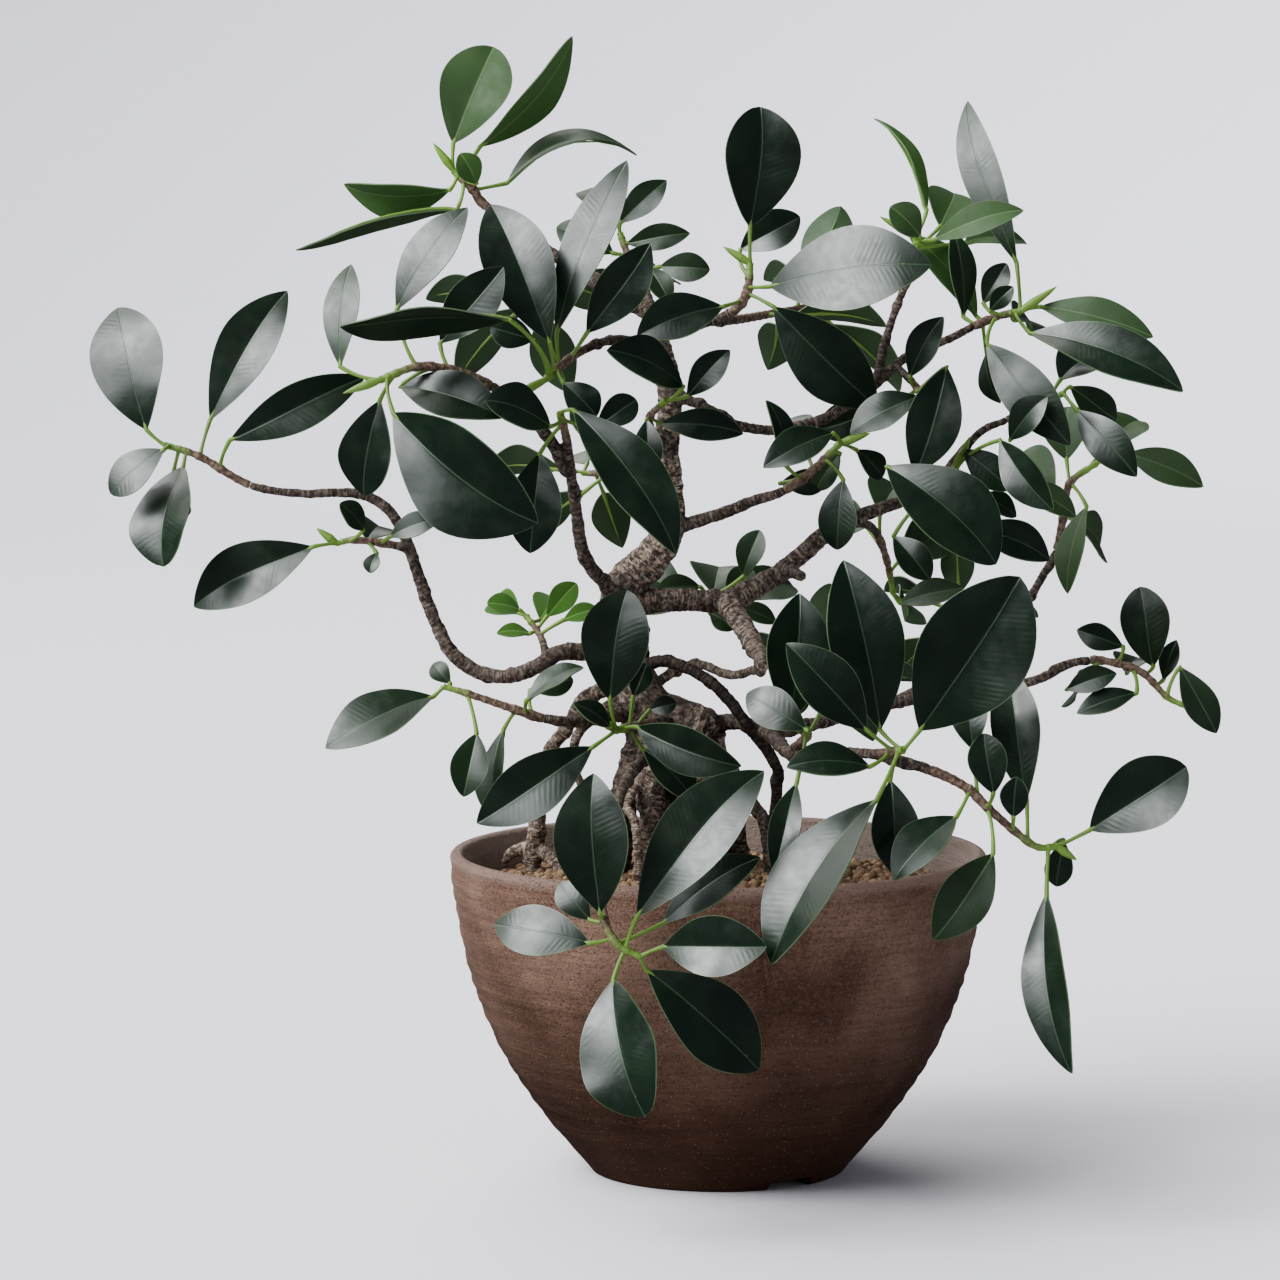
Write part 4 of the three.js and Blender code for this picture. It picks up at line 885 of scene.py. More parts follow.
def on_route(route, place):
    """The point at a place on the route, where place 1.5 is half-way from point 1 to point 2."""
    low = min(int(place), len(route) - 2)
    return route[low].lerp(route[low + 1], place - low)


def eased(route, radii, step):
    """The route with its corners eased: points about a step apart on a curve through the same
    places, their radii, and each one's place on the route."""
    points, sizes, places = [], [], []
    last = len(route) - 1
    for index in range(last):
        here, there = route[index], route[index + 1]
        before = route[index - 1] if index > 0 else here * 2 - there
        after = route[index + 2] if index + 2 <= last else there * 2 - here
        count = max(1, round((there - here).length / step))
        for number in range(count):
            t = number / count
            spot = here * (1 - 3 * t * t + 2 * t ** 3) + there * (3 * t * t - 2 * t ** 3)
            spot += (there - before) * 0.5 * t * (t - 1) ** 2
            spot += (after - here) * 0.5 * t * t * (t - 1)
            points.append(spot)
            sizes.append(radii[index] + (radii[index + 1] - radii[index]) * t)
            places.append(index + t)
    points.append(route[last].copy())
    sizes.append(radii[last])
    places.append(float(last))
    return points, sizes, places


# Mesh pieces

LAYERS = ("along", "rib", "edge", "tone", "under")
GRAIN_LAYERS = ("tone",)


def new_part(layers=LAYERS):
    """An empty part with the layers that its material reads: a leafy stem's, or a granule's."""
    bm = bmesh.new()
    for layer in layers:
        bm.verts.layers.float.new(layer)
    return bm


def placed(name, data):
    """A new object in the scene that shows this data."""
    item = bpy.data.objects.new(name, data)
    bpy.context.scene.collection.objects.link(item)
    return item


def finished(name, bm, *materials):
    """A smooth piece in the scene, made from a bmesh, which is freed."""
    mesh = bpy.data.meshes.new(name)
    bm.to_mesh(mesh)
    bm.free()
    for material in materials:
        mesh.materials.append(material)
    mesh.shade_smooth()
    return placed(name, mesh)


def joined(parts, layers=LAYERS):
    """One bmesh that holds every part."""
    whole = new_part(layers)
    for part in parts:
        mesh = bpy.data.meshes.new("part")
        part.to_mesh(mesh)
        part.free()
        whole.from_mesh(mesh)
        bpy.data.meshes.remove(mesh)
    return whole


def settled(piece):
    """The piece with its modifiers worked into its mesh."""
    bpy.context.view_layer.update()
    shown = piece.evaluated_get(bpy.context.evaluated_depsgraph_get())
    made = bpy.data.meshes.new_from_object(shown)
    piece.modifiers.clear()
    piece.data = made
    return piece


def ring_place(middle, along, side, radius):
    """Lays a circle of radius 1 round middle, square to along."""
    turn = Matrix((side, along.cross(side), along)).transposed().to_4x4()
    return Matrix.Translation(middle) @ turn @ Matrix.Diagonal((radius, radius, radius, 1))


def tube(points, radii, sides, material=0):
    """A closed tapered limb, extruded from a circle along the points. Its layer named along
    runs from 0 at its start to 1 at its end."""
    bm = new_part()
    share = bm.verts.layers.float["along"]
    side = Vector((0.3, 1, 0.2))
    places = []
    for index, middle in enumerate(points):
        along = heading(points, index)
        side = (side - along * side.dot(along)).normalized()
        places.append(ring_place(middle, along, side, radii[index]))
    bmesh.ops.create_circle(bm, cap_ends=True, segments=sides, radius=1, matrix=places[0])
    end = list(bm.faces)
    for number, (before, after) in enumerate(zip(places, places[1:]), start=1):
        moved = bmesh.ops.extrude_face_region(bm, geom=end)["geom"]
        end = [item for item in moved if isinstance(item, bmesh.types.BMFace)]
        verts = [item for item in moved if isinstance(item, bmesh.types.BMVert)]
        bmesh.ops.transform(bm, matrix=after @ before.inverted(), verts=verts)
        for vert in verts:
            vert[share] = number / (len(places) - 1)
    bmesh.ops.recalc_face_normals(bm, faces=bm.faces[:])
    for face in bm.faces:
        face.material_index = material
    return bm


def turned(profile, steps, closed=True):
    """A profile of radius and height in millimetres, closed or open, spun round the pot's
    axis."""
    bm = bmesh.new()
    verts = [bm.verts.new(AXIS + Vector((radius, 0, height)) * MM) for radius, height in profile]
    following = verts[1:] + verts[:1] if closed else verts[1:]
    edges = [bm.edges.new(pair) for pair in zip(verts, following)]
    bmesh.ops.spin(bm, geom=verts + edges, cent=AXIS, axis=(0, 0, 1), angle=2 * math.pi,
                   steps=steps, use_merge=True, use_duplicate=False)
    bmesh.ops.remove_doubles(bm, verts=bm.verts[:], dist=0.001 * MM)
    bmesh.ops.recalc_face_normals(bm, faces=bm.faces[:])
    return bm


def dress(piece, slot, *nodes):
    """Ties a piece to the part's one body and hides the nodes that it replaces. slot is not used.
    """
    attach(piece, "root")
    if nodes:
        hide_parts(*nodes)
    return piece


# Shader values and finishes

class Value:
    """A number or colour that changes over a surface. Operators on numbers add Math nodes."""

    def __init__(self, finish, socket):
        self.finish = finish
        self.socket = socket

    def math(self, operation, *others):
        return self.finish.node("ShaderNodeMath", {"operation": operation}, self, *others)

    def __add__(self, other):
        return self.math("ADD", other)

    def __radd__(self, other):
        return self.math("ADD", other)

    def __sub__(self, other):
        return self.math("SUBTRACT", other)

    def __rsub__(self, other):
        return self.finish.node("ShaderNodeMath", {"operation": "SUBTRACT"}, other, self)

    def __mul__(self, other):
        return self.math("MULTIPLY", other)

    def __rmul__(self, other):
        return self.math("MULTIPLY", other)

    def __truediv__(self, other):
        return self.math("DIVIDE", other)

    def clamped(self):
        return self.finish.node("ShaderNodeClamp", {}, self, 0.0, 1.0)

    def rising(self, low, high):
        """0 below low, 1 above high, and a smooth way between."""
        settings = {"interpolation_type": "SMOOTHSTEP"}
        return self.finish.node("ShaderNodeMapRange", settings, self, low, high, 0.0, 1.0)


class Finish:
    """A material while it is made."""

    def __init__(self, name):
        self.material = bpy.data.materials.new(name)
        self.material.use_nodes = True
        self.tree = self.material.node_tree
        self.tree.nodes.clear()
        self.output = self.tree.nodes.new("ShaderNodeOutputMaterial")

    def node(self, kind, settings, *values, out=0, **named):
        """A node of a kind with its settings. Its sockets are fed in order, or by name with _
        for a space, and None leaves a socket as it is."""
        node = self.tree.nodes.new(kind)
        for key, value in settings.items():
            setattr(node, key, value)
        for number, value in enumerate(values):
            self.feed(node.inputs[number], value)
        for key, value in named.items():
            self.feed(node.inputs[key.replace("_", " ")], value)
        return Value(self, node.outputs[out])

    def feed(self, socket, value):
        if isinstance(value, Value):
            self.tree.links.new(value.socket, socket)
        elif isinstance(value, tuple) and len(value) == 3 and socket.type == "RGBA":
            socket.default_value = (*value, 1)
        elif value is not None:
            socket.default_value = value

    def attribute(self, name):
        return self.node("ShaderNodeAttribute", {"attribute_name": name}, out="Fac")

    def place(self):
        return self.node("ShaderNodeTexCoord", {}, out="Object")

    def stretched(self, vector, scale):
        return self.node("ShaderNodeMapping", {}, Vector=vector, Scale=scale)

    def noise(self, vector, scale, detail=3.0, roughness=0.5):
        """Soft noise, where scale counts its waves to the metre."""
        return self.node("ShaderNodeTexNoise", {}, Vector=vector, Scale=scale, Detail=detail,
                         Roughness=roughness)

    def rings(self, vector, run, scale):
        """Noise drawn out around a limb and tight along it, where run is the way along."""
        return self.node("ShaderNodeTexNoise", {"noise_dimensions": "4D"}, Vector=vector, W=run,
                         Scale=scale, Detail=4.0, Roughness=0.6)

    def bands(self, run):
        """Noise that changes along a limb alone."""
        return self.node("ShaderNodeTexNoise", {"noise_dimensions": "1D"}, W=run, Scale=1.0,
                         Detail=2.0)

    def spots(self, vector, scale):
        return self.node("ShaderNodeTexVoronoi", {}, Vector=vector, Scale=scale)

    def mix(self, share, colour, other):
        """One colour turned into another by a share. The Mix node's sockets for colours come
        after those for numbers and vectors."""
        skipped = (None,) * 5
        return self.node("ShaderNodeMix", {"data_type": "RGBA"}, share, *skipped, colour, other,
                         out=2)

    def blend(self, share, shader, other):
        """One shader turned into another by a share."""
        return self.node("ShaderNodeMixShader", {}, share, shader, other)

    def bump(self, height, depth, strength):
        """Relief of a height from 0 to 1, where depth is in millimetres."""
        return self.node("ShaderNodeBump", {}, Strength=strength, Distance=depth * MM,
                         Height=height)

    def surface(self, **sockets):
        return self.node("ShaderNodeBsdfPrincipled", {}, **sockets)

    def done(self, shader):
        self.tree.links.new(shader.socket, self.output.inputs["Surface"])
        return self.material


# Leaf colours, each on an old leaf and on a young one. A young leaf's brighter green is partly
# its own and partly painted light from behind.
LEAF_TOP = ((0.0050, 0.0185, 0.0080), (0.070, 0.190, 0.020))
LEAF_RIB = ((0.050, 0.095, 0.048), (0.20, 0.36, 0.10))
LEAF_UNDERSIDE = ((0.035, 0.080, 0.030), (0.12, 0.25, 0.06))
LEAF_GLOW = ((0.012, 0.055, 0.006), (0.17, 0.38, 0.03))
LEAF_MARGIN = (0.16, 0.24, 0.12)
LEAF_IOR = 1.8
LIGHT_THROUGH = 0.2
LEAST_ROUGH = 0.29
VEIN_PITCH = 1.7
VEIN_SLANT = 0.55
VEIN_BEND = 2.2


def leaf_finish():
    """Leathery blades: dark and glossy above, paler below, with a thin light midrib, faint
    slanting veins with wrinkles between them, a thin pale margin and light that comes through."""
    leaf = Finish("leaf")
    place = leaf.place()
    along = leaf.attribute("along")
    rib = leaf.attribute("rib")
    edge = leaf.attribute("edge")
    tone = leaf.attribute("tone") * leaf.attribute("tone")
    under = leaf.attribute("under").rising(0.3, 0.7)
    bend = leaf.noise(place, scale=55.0, detail=0.0)
    cloud = leaf.noise(place, scale=90.0, detail=2.0)
    ripple = leaf.noise(place, scale=330.0, detail=2.0)
    grain = leaf.noise(place, scale=1500.0, detail=2.0)

    run = (along - rib * VEIN_SLANT) / VEIN_PITCH + bend * VEIN_BEND
    inner = rib.rising(0.2, 1.6) * edge.rising(0.2, 2.2)
    wrinkle = (run * (2 * math.pi)).math("SINE") * inner * cloud.rising(0.42, 0.70)
    vein = 1 - (run.math("FRACT") - 0.5).math("ABSOLUTE").rising(0.02, 0.16)
    vein = vein * inner * ripple.rising(0.35, 0.6)
    midrib = 1 - rib.rising(0.09, 0.19 + edge.clamped() * 0.16)
    margin = 1 - edge.rising(0.04, 0.22)

    below = leaf.mix(tone, *LEAF_UNDERSIDE)
    ribs = leaf.mix(tone, *LEAF_RIB)
    colour = leaf.mix(under, leaf.mix(tone, *LEAF_TOP), below)
    colour = leaf.mix(cloud.rising(0.35, 0.85) * 0.22, colour, below)
    colour = leaf.mix(vein * 0.10, colour, ribs)
    colour = leaf.mix(midrib * 0.75, colour, ribs)
    colour = leaf.mix(margin * 0.7, colour, LEAF_MARGIN)

    rough = 0.35 + under * 0.15 + tone * 0.8 + (cloud - 0.5) * 0.2 + (ripple - 0.5) * 0.25
    rough = rough.clamped().math("MAXIMUM", LEAST_ROUGH)
    height = midrib * (under * 2 - 1) * 0.22 + wrinkle * 0.055 * (1 - tone * 0.8)
    height = height + grain * 0.03 + ripple * 0.09 + cloud * 0.30
    normal = leaf.bump(height, depth=0.35, strength=0.7)
    blade = leaf.surface(Base_Color=colour, Roughness=rough, Normal=normal, IOR=LEAF_IOR)
    glows = [leaf.node("ShaderNodeBsdfTranslucent", {}, Color=glow) for glow in LEAF_GLOW]
    return leaf.done(leaf.blend(LIGHT_THROUGH, blade, leaf.blend(tone, *glows)))


# Shoot colours, each from its dark to its light
OLD_SHOOT = ((0.075, 0.145, 0.022), (0.13, 0.21, 0.045))
YOUNG_SHOOT = ((0.15, 0.29, 0.04), (0.24, 0.38, 0.08))
BROWN_SHOOT = ((0.075, 0.045, 0.03), (0.20, 0.14, 0.10))


def shoot_finish():
    """Shoots, leaf stalks and buds: brown and ringed at a shoot's start, green at its end."""
    shoot = Finish("green_shoot")
    place = shoot.place()
    cloud = shoot.noise(place, scale=160.0)
    fleck = shoot.noise(place, scale=900.0)
    tone = shoot.attribute("tone")
    green = (shoot.attribute("along") + (cloud - 0.5) * 0.3).rising(0.66, 0.92)
    old = shoot.mix(cloud, *OLD_SHOOT)
    young = shoot.mix(cloud, *YOUNG_SHOOT)
    brown = shoot.mix(fleck.rising(0.35, 0.7), *BROWN_SHOOT)
    colour = shoot.mix(green, brown, shoot.mix(tone, old, young))
    rough = 0.62 + fleck * 0.2 - green * 0.24
    normal = shoot.bump(fleck * (1.3 - green), depth=0.4, strength=0.6)
    return shoot.done(shoot.surface(Base_Color=colour, Roughness=rough, Normal=normal))


# Bark colours, each on the darkest limb and on the palest one
BARK_DARK = ((0.014, 0.008, 0.006), (0.105, 0.067, 0.046))
BARK_LIGHT = ((0.060, 0.038, 0.027), (0.50, 0.40, 0.32))
BARK_FLECK = ((0.14, 0.105, 0.08), (0.76, 0.68, 0.57))
# The colour of the pits is painted shade
PAINTED_PIT_SHADE = (0.024, 0.015, 0.010)
# The ring scars' colour: partly their own dark, partly painted shade in the ring cracks
SCAR_AND_CRACK_SHADE = (0.022, 0.014, 0.010)
BARK_LENTICEL = (0.36, 0.29, 0.23)


def bark_finish():
    """Grey brown bark: flaking on the trunk, wrinkled across every limb, with ring scars and
    lenticels, and with its own shade on each root. Painted shade darkens its wrinkles, its pits
    and, partly as the scars' own dark, its ring cracks."""
    bark = Finish("bark")
    place = bark.place()
    young = bark.attribute("young")
    shade = bark.attribute("shade")
    along = bark.attribute("along")
    whole = 1 - bark.attribute("seam")
    cloud = bark.noise(place, scale=60.0, detail=4.0)
    fibre = bark.noise(place, scale=800.0, detail=5.0, roughness=0.65)
    flake = bark.rings(place, along * 0.0036, scale=240.0)
    fleck = bark.rings(place, along * 0.0030 + 7, scale=340.0)
    bands = bark.bands(along * 1.1 + fibre * 0.5 + cloud * 2.0)

    wrinkle = bands.rising(0.45, 0.54) * whole * (0.35 + young * 0.65)
    pit = flake.rising(0.54, 0.58) * (1 - young * 0.6)
    raised = fleck.rising(0.54, 0.60) * (0.65 - young * 0.3)
    lenticel = 1 - bark.spots(place, scale=420.0).rising(0.10, 0.22)
    lenticel = lenticel * cloud.rising(0.45, 0.6)

    dark = bark.mix(shade, *BARK_DARK)
    light = bark.mix(shade, *BARK_LIGHT)
    colour = bark.mix(fibre.rising(0.42, 0.58), dark, light)
    colour = bark.mix(cloud.rising(0.5, 0.72) * 0.3, colour, light)
    # Painted shade: the wrinkle grooves are darkened
    colour = bark.mix(wrinkle * 0.65, colour, dark)
    colour = bark.mix(raised, colour, bark.mix(shade, *BARK_FLECK))
    # Painted shade: the pits are darkened
    colour = bark.mix(pit * 0.7, colour, PAINTED_PIT_SHADE)
    # Partly painted shade: the ring cracks are darkened, partly as the scars' own dark
    colour = bark.mix(bark.attribute("scar_and_crack_shade") * 0.6, colour, SCAR_AND_CRACK_SHADE)
    colour = bark.mix(lenticel * 0.4, colour, BARK_LENTICEL)
    rough = (0.80 + (fibre - 0.5) * 0.3 - young * 0.12).clamped()
    height = fibre * 0.35 - wrinkle * 0.4 - pit * 0.7 + fleck * 0.4 + lenticel * 0.25 + cloud * 0.5
    normal = bark.bump(height, depth=0.9, strength=0.9)
    return bark.done(bark.surface(Base_Color=colour, Roughness=rough, Normal=normal))


# Stoneware colours: its dark and its light, each at the foot and at the lip, where the foot's pair
# is darkened as painted shade, then what lies on it and a painted highlight for the lip
CLAY_DARK = ((0.042, 0.017, 0.008), (0.125, 0.067, 0.043))
CLAY_LIGHT = ((0.076, 0.034, 0.018), (0.275, 0.178, 0.132))
IRON_SPECK = (0.018, 0.010, 0.008)
CLAY_DUST = (0.46, 0.38, 0.34)
# A painted highlight along the top of the lip
PAINTED_LIP_HIGHLIGHT = (0.30, 0.215, 0.18)
WHITE_GRIT = (0.50, 0.42, 0.35)
CLAY_IOR = 1.3


def stoneware_finish(name, dust):
    """Unglazed brown stoneware: fine throwing lines, pits, dark iron specks and white grit, under
    a share of pale dust, with painted shade darker towards the foot and a painted highlight on
    the lip."""
    clay = Finish(name)
    place = clay.place()
    fine_lines = clay.stretched(place, (0.05, 0.05, 1.0))
    broad_lines = clay.stretched(place, (0.12, 0.12, 1.0))
    rings = clay.noise(fine_lines, scale=900.0, detail=4.0, roughness=0.6)
    bands = clay.noise(broad_lines, scale=130.0)
    cloud = clay.noise(place, scale=26.0, detail=4.0)
    grit = clay.noise(place, scale=850.0, detail=4.0, roughness=0.75)
    pit = 1 - clay.spots(place, scale=900.0).rising(0.1, 0.3)
    iron = 1 - clay.spots(clay.stretched(place, (1.0, 1.0, 1.3)), scale=520.0).rising(0.06, 0.18)
    white = 1 - clay.spots(place, scale=620.0).rising(0.05, 0.16)
    white = white * cloud.rising(0.25, 0.55)

    up = clay.node("ShaderNodeSeparateXYZ", {}, place, out="Z") / (POT_HEIGHT * MM)
    # Painted shade: the stoneware darkens towards the foot and lightens towards the lip
    foot_shade_to_lip = (up + (cloud - 0.5) * 0.5).rising(0.15, 1.05)
    dark = clay.mix(foot_shade_to_lip, *CLAY_DARK)
    light = clay.mix(foot_shade_to_lip, *CLAY_LIGHT)
    colour = clay.mix(cloud.rising(0.3, 0.7), dark, light)
    colour = clay.mix(bands.rising(0.4, 0.7) * 0.35, colour, light)
    colour = clay.mix(rings.rising(0.45, 0.65) * 0.35, colour, dark)
    colour = clay.mix(grit.rising(0.50, 0.62) * 0.55, colour, light)
    colour = clay.mix(grit.rising(0.36, 0.46) * -0.5 + 0.5, colour, dark)
    colour = clay.mix(iron * 0.8, colour, IRON_SPECK)
    colour = clay.mix(dust, colour, CLAY_DUST)
    # Painted highlight: the top of the lip turns paler
    colour = clay.mix(up.rising(0.955, 0.985) * 0.6, colour, PAINTED_LIP_HIGHLIGHT)
    colour = clay.mix(white * 0.6, colour, WHITE_GRIT)
    rough = (0.74 + (grit - 0.5) * 0.3).clamped()
    height = rings * 0.5 + grit * 0.8 - pit * 0.5 + white * 0.5
    normal = clay.bump(height, depth=1.9, strength=1.0)
    return clay.done(clay.surface(Base_Color=colour, Roughness=rough, Normal=normal, IOR=CLAY_IOR))


GRANULE = ((0.10, 0.060, 0.036), (0.36, 0.235, 0.14))
GRANULE_DUST = (0.42, 0.31, 0.21)


def granule_finish():
    """Dry clay granules, each with its own shade, dusty and pitted."""
    soil = Finish("soil_granules")
    place = soil.place()
    dust = soil.noise(place, scale=600.0, detail=4.0, roughness=0.6)
    pits = soil.noise(place, scale=1800.0, detail=2.0)
    clay = soil.mix(soil.attribute("tone"), *GRANULE)
    colour = soil.mix(dust.rising(0.45, 0.75) * 0.5, clay, GRANULE_DUST)
    rough = 0.88 + (pits - 0.5) * 0.15
    normal = soil.bump(dust + pits * 0.5, depth=0.6, strength=0.8)
    return soil.done(soil.surface(Base_Color=colour, Roughness=rough, Normal=normal))


BLACK_PLASTIC = (0.012, 0.012, 0.012)
SOIL_DUST = (0.16, 0.10, 0.06)


def netting_finish():
    """Black plastic netting with a light layer of soil dust."""
    net = Finish("netting")
    dust = net.noise(net.place(), scale=500.0)
    colour = net.mix(dust.rising(0.5, 0.8) * 0.4, BLACK_PLASTIC, SOIL_DUST)
    rough = 0.45 + dust * 0.3
    normal = net.bump(dust, depth=0.3, strength=0.4)
    return net.done(net.surface(Base_Color=colour, Roughness=rough, Normal=normal))


PAPER = (0.79, 0.78, 0.83)
PAPER_ROUGH = 0.7
PAPER_SHADE = 0.93


def paper_finish():
    """Pale studio paper with faint soft clouds."""
    paper = Finish("floor_paper")
    soft = paper.noise(paper.place(), scale=3.0, detail=2.0)
    shaded = tuple(part * PAPER_SHADE for part in PAPER)
    colour = paper.mix(soft * 0.15, PAPER, shaded)
    return paper.done(paper.surface(Base_Color=colour, Roughness=PAPER_ROUGH))


LEAF = leaf_finish()
SHOOT = shoot_finish()
BARK = bark_finish()
STONEWARE = stoneware_finish("stoneware", dust=0.0)
STONEWARE_INSIDE = stoneware_finish("stoneware_inside", dust=0.75)
GRANULES = granule_finish()
NETTING = netting_finish()


# Leaves

def blade_share(share, round_tip):
    """Half the blade's width at a share of its length: broadest past the middle, and fuller
    towards a short point. round_tip runs from 0, a narrow blade, to 1, a broad one."""
    rounder = ROUNDER * round_tip
    return math.sin(math.pi * share ** (BROADEST + rounder)) ** (FULLNESS - rounder)


def thickened(bm, flat, under):
    """Gives a blade its thickness, half to each side of the height that its layer flat keeps,
    and marks its underside."""
    bmesh.ops.recalc_face_normals(bm, faces=bm.faces[:])
    bmesh.ops.solidify(bm, geom=bm.faces[:], thickness=BLADE_THICKNESS * MM)
    near = BLADE_THICKNESS * MM / 3
    sunk = min(vert.co.z - vert[flat] for vert in bm.verts) < -near
    for vert in bm.verts:
        away = vert.co.z - vert[flat]
        below = away < -near if sunk else away < near
        vert[under] = 1.0 if below else 0.0
        vert.co.z += BLADE_THICKNESS * MM / 2 if sunk else -BLADE_THICKNESS * MM / 2


def blade(length, width, arch, tone, fold, random):
    """A blade along +X with its upper side to +Z, in metres: a grid drawn into the outline,
    folded at the midrib, arched, waved at its margin, and given its thickness."""
    bm = new_part()
    layer = {name: bm.verts.layers.float[name] for name in LAYERS}
    flat = bm.verts.layers.float.new("flat")
    bmesh.ops.create_grid(bm, x_segments=LENGTH_CELLS, y_segments=WIDTH_CELLS, size=0.5)
    fold *= between(random, *FOLDS)
    curl = between(random, *CURLS)
    waves = between(random, *WAVES)
    phase = next(random)
    ripple = between(random, *RIPPLES)
    droop = between(random, *DROOPS)
    sickle = between(random, *SICKLES)
    patch = Vector((0, 0, 100 * next(random)))
    round_tip = limited((width / length - NARROW_BLADE) / BROADER)
    twist = math.radians(between(random, *TWISTS))
    for vert in bm.verts:
        share = vert.co.x + 0.5
        share -= END_CROWDING * math.sin(2 * math.pi * share)
        side = math.copysign(abs(2 * vert.co.y) ** MARGIN_CROWDING, vert.co.y)
        neck = NECK_HALF * MM * (1 - share)
        half = max(width / 2 * blade_share(limited(share), round_tip), neck + TIP_HALF * MM)
        across = side * half
        bend = math.sqrt(side * side + FOLD_EASE) - math.sqrt(FOLD_EASE)
        rise = arch * length * 4 * share * (1 - share)
        rise += fold * half * (bend - curl * side ** 4)
        rise += ripple * half * side * side * math.sin(2 * math.pi * (waves * share + phase))
        rise -= droop * length * max(share - DROOP_START, 0) ** 2 * 4
        spot = Vector((share * length, across, 0)) / HAMMER_SIZE / MM + patch
        rise += HAMMER_DEPTH * MM * noise.noise(spot)
        turn = twist * (share - TWIST_MIDDLE)
        vert[layer["along"]] = share * length / MM
        vert[layer["rib"]] = abs(across) / MM
        vert[layer["edge"]] = (half - abs(across)) / MM
        vert[layer["tone"]] = tone
        vert.co.x = share * length
        vert.co.y = across * math.cos(turn) + sickle * length * share * share * (1 - share) * 4
        vert.co.z = rise + across * math.sin(turn)
        vert[flat] = vert.co.z
    thickened(bm, flat, layer["under"])
    bm.verts.layers.float.remove(flat)
    bmesh.ops.recalc_face_normals(bm, faces=bm.faces[:])
    return bm


def tint(bm, tone, all_green=True):
    """Gives a green part its tone. A part that is green all over counts as a shoot's end."""
    layer = {name: bm.verts.layers.float[name] for name in ("tone", "along")}
    for vert in bm.verts:
        vert[layer["tone"]] = tone
        if all_green:
            vert[layer["along"]] = 1.0


def stalk(start, base, axis, face, length, arch, tone):
    """A leaf stalk that eases from its shoot into the blade and runs on under it as its rib."""
    reach = (base - start).length
    points, radii = [], []
    for number in range(STALK_STEPS):
        t = number / STALK_STEPS
        points.append(start.lerp(base, t) - axis * reach * STALK_BOW * t * (1 - t))
        waist = STALK_WAIST * math.sin(math.pi * t) ** STALK_WAIST_EASE
        radii.append((STALK_RADIUS - waist) * MM)
    for share in RIB_SHARES:
        rise = arch * length * 4 * share * (1 - share)
        radius = (RIB_RADIUS * (1 - share) ** RIB_TAPER + RIB_END) * MM
        sunk = radius * min(share * RIB_SINKING, 1)
        points.append(base + axis * share * length + face * (rise - sunk))
        radii.append(radius)
    bm = tube(points, radii, STALK_SIDES, material=1)
    tint(bm, STALK_TONE + (1 - STALK_TONE) * tone)
    return bm


def outlook(middle, turn):
    """Where a leaf's upper side looks before its turn: to the viewing point and somewhat up, or
    straight to it where the leaf stands on edge, or half-way to the key light where it is lit."""
    look = (AXIS + VIEW_POINT * MM - middle).normalized()
    if isinstance(turn, dict):
        look += KEY_LIGHT
    elif abs(turn) < EDGE_ON:
        look.z += LOOK_UP
    return look.normalized()


def facing(base, tip, turn, sway):
    """The upper side of a read leaf: its outlook, square to its axis, turned about the axis."""
    axis = (tip - base).normalized()
    look = outlook((base + tip) / 2, turn)
    look = (look - axis * look.dot(axis)).normalized()
    if isinstance(turn, dict):
        degrees = turn["lit"]
    else:
        degrees = turn + sway if abs(turn) < EDGE_ON else turn
    return Matrix.Rotation(math.radians(degrees), 3, axis) @ look


def tip_depth(base, tip, turn, sway):
    """How far behind its base a tip is: as read and swayed, or, on a lit leaf, where the leaf's
    axis is square to its outlook."""
    across, up, back = tip
    length = math.hypot(across - base[0], up - base[1])
    if not isinstance(turn, dict):
        return back + sway * length
    low, high = seen(base), seen((across, up, base[2]))
    look = outlook((low + high) / 2, turn)
    lean = -(high - low).dot(look) / look.y / MM
    return base[2] + limited(lean, -MOST_LEAN * length, MOST_LEAN * length)


def leaf(start, base, tip, width, up, arch, tone, random, fold=FOLD):
    """The two parts of one leaf: its blade and its stalk."""
    axis = (tip - base).normalized()
    length = (tip - base).length
    face = (up - axis * up.dot(axis)).normalized()
    blade_part = blade(length, width * MM, arch, tone, fold, random)
    turn = Matrix((axis, face.cross(axis), face)).transposed().to_4x4()
    bmesh.ops.transform(blade_part, matrix=Matrix.Translation(base) @ turn, verts=blade_part.verts)
    return [blade_part, stalk(start, base, axis, face, length, arch, tone)]


def leaves_by_rule(route, rule, tone, random):
    """Leaves set a golden angle apart round their shoot, leaning outwards and to its tip."""
    draw = draws(rule["seed"])
    parts = []
    end = len(route) - 1
    angle = next(draw) * 2 * math.pi
    for index in range(rule["count"]):
        place = rule["from"] + (end - rule["from"]) * index / (rule["count"] - 1)
        start = on_route(route, place)
        along = heading(route, math.floor(place + 0.5))
        side = (Vector((0, 0, 1)) - along * along.z).normalized()
        out = Matrix.Rotation(angle, 3, along) @ side
        lean = END_LEAN if index == rule["count"] - 1 else RULE_LEAN
        outwards = (out + along * lean).normalized()
        base = start + outwards * PETIOLE_LENGTH * MM
        grown = rule["length"] * (LEAST_GROWN + GROWN_SPREAD * next(draw))
        tip = base + outwards * grown * MM + Vector((0, 0, -RULE_DROOP * grown * MM))
        width = rule["width"] * grown / rule["length"]
        up = along + Vector((0, 0, RULE_UP))
        parts += leaf(start, base, tip, width, up, ARCH, tone, random)
        angle += GOLDEN_ANGLE
    return parts


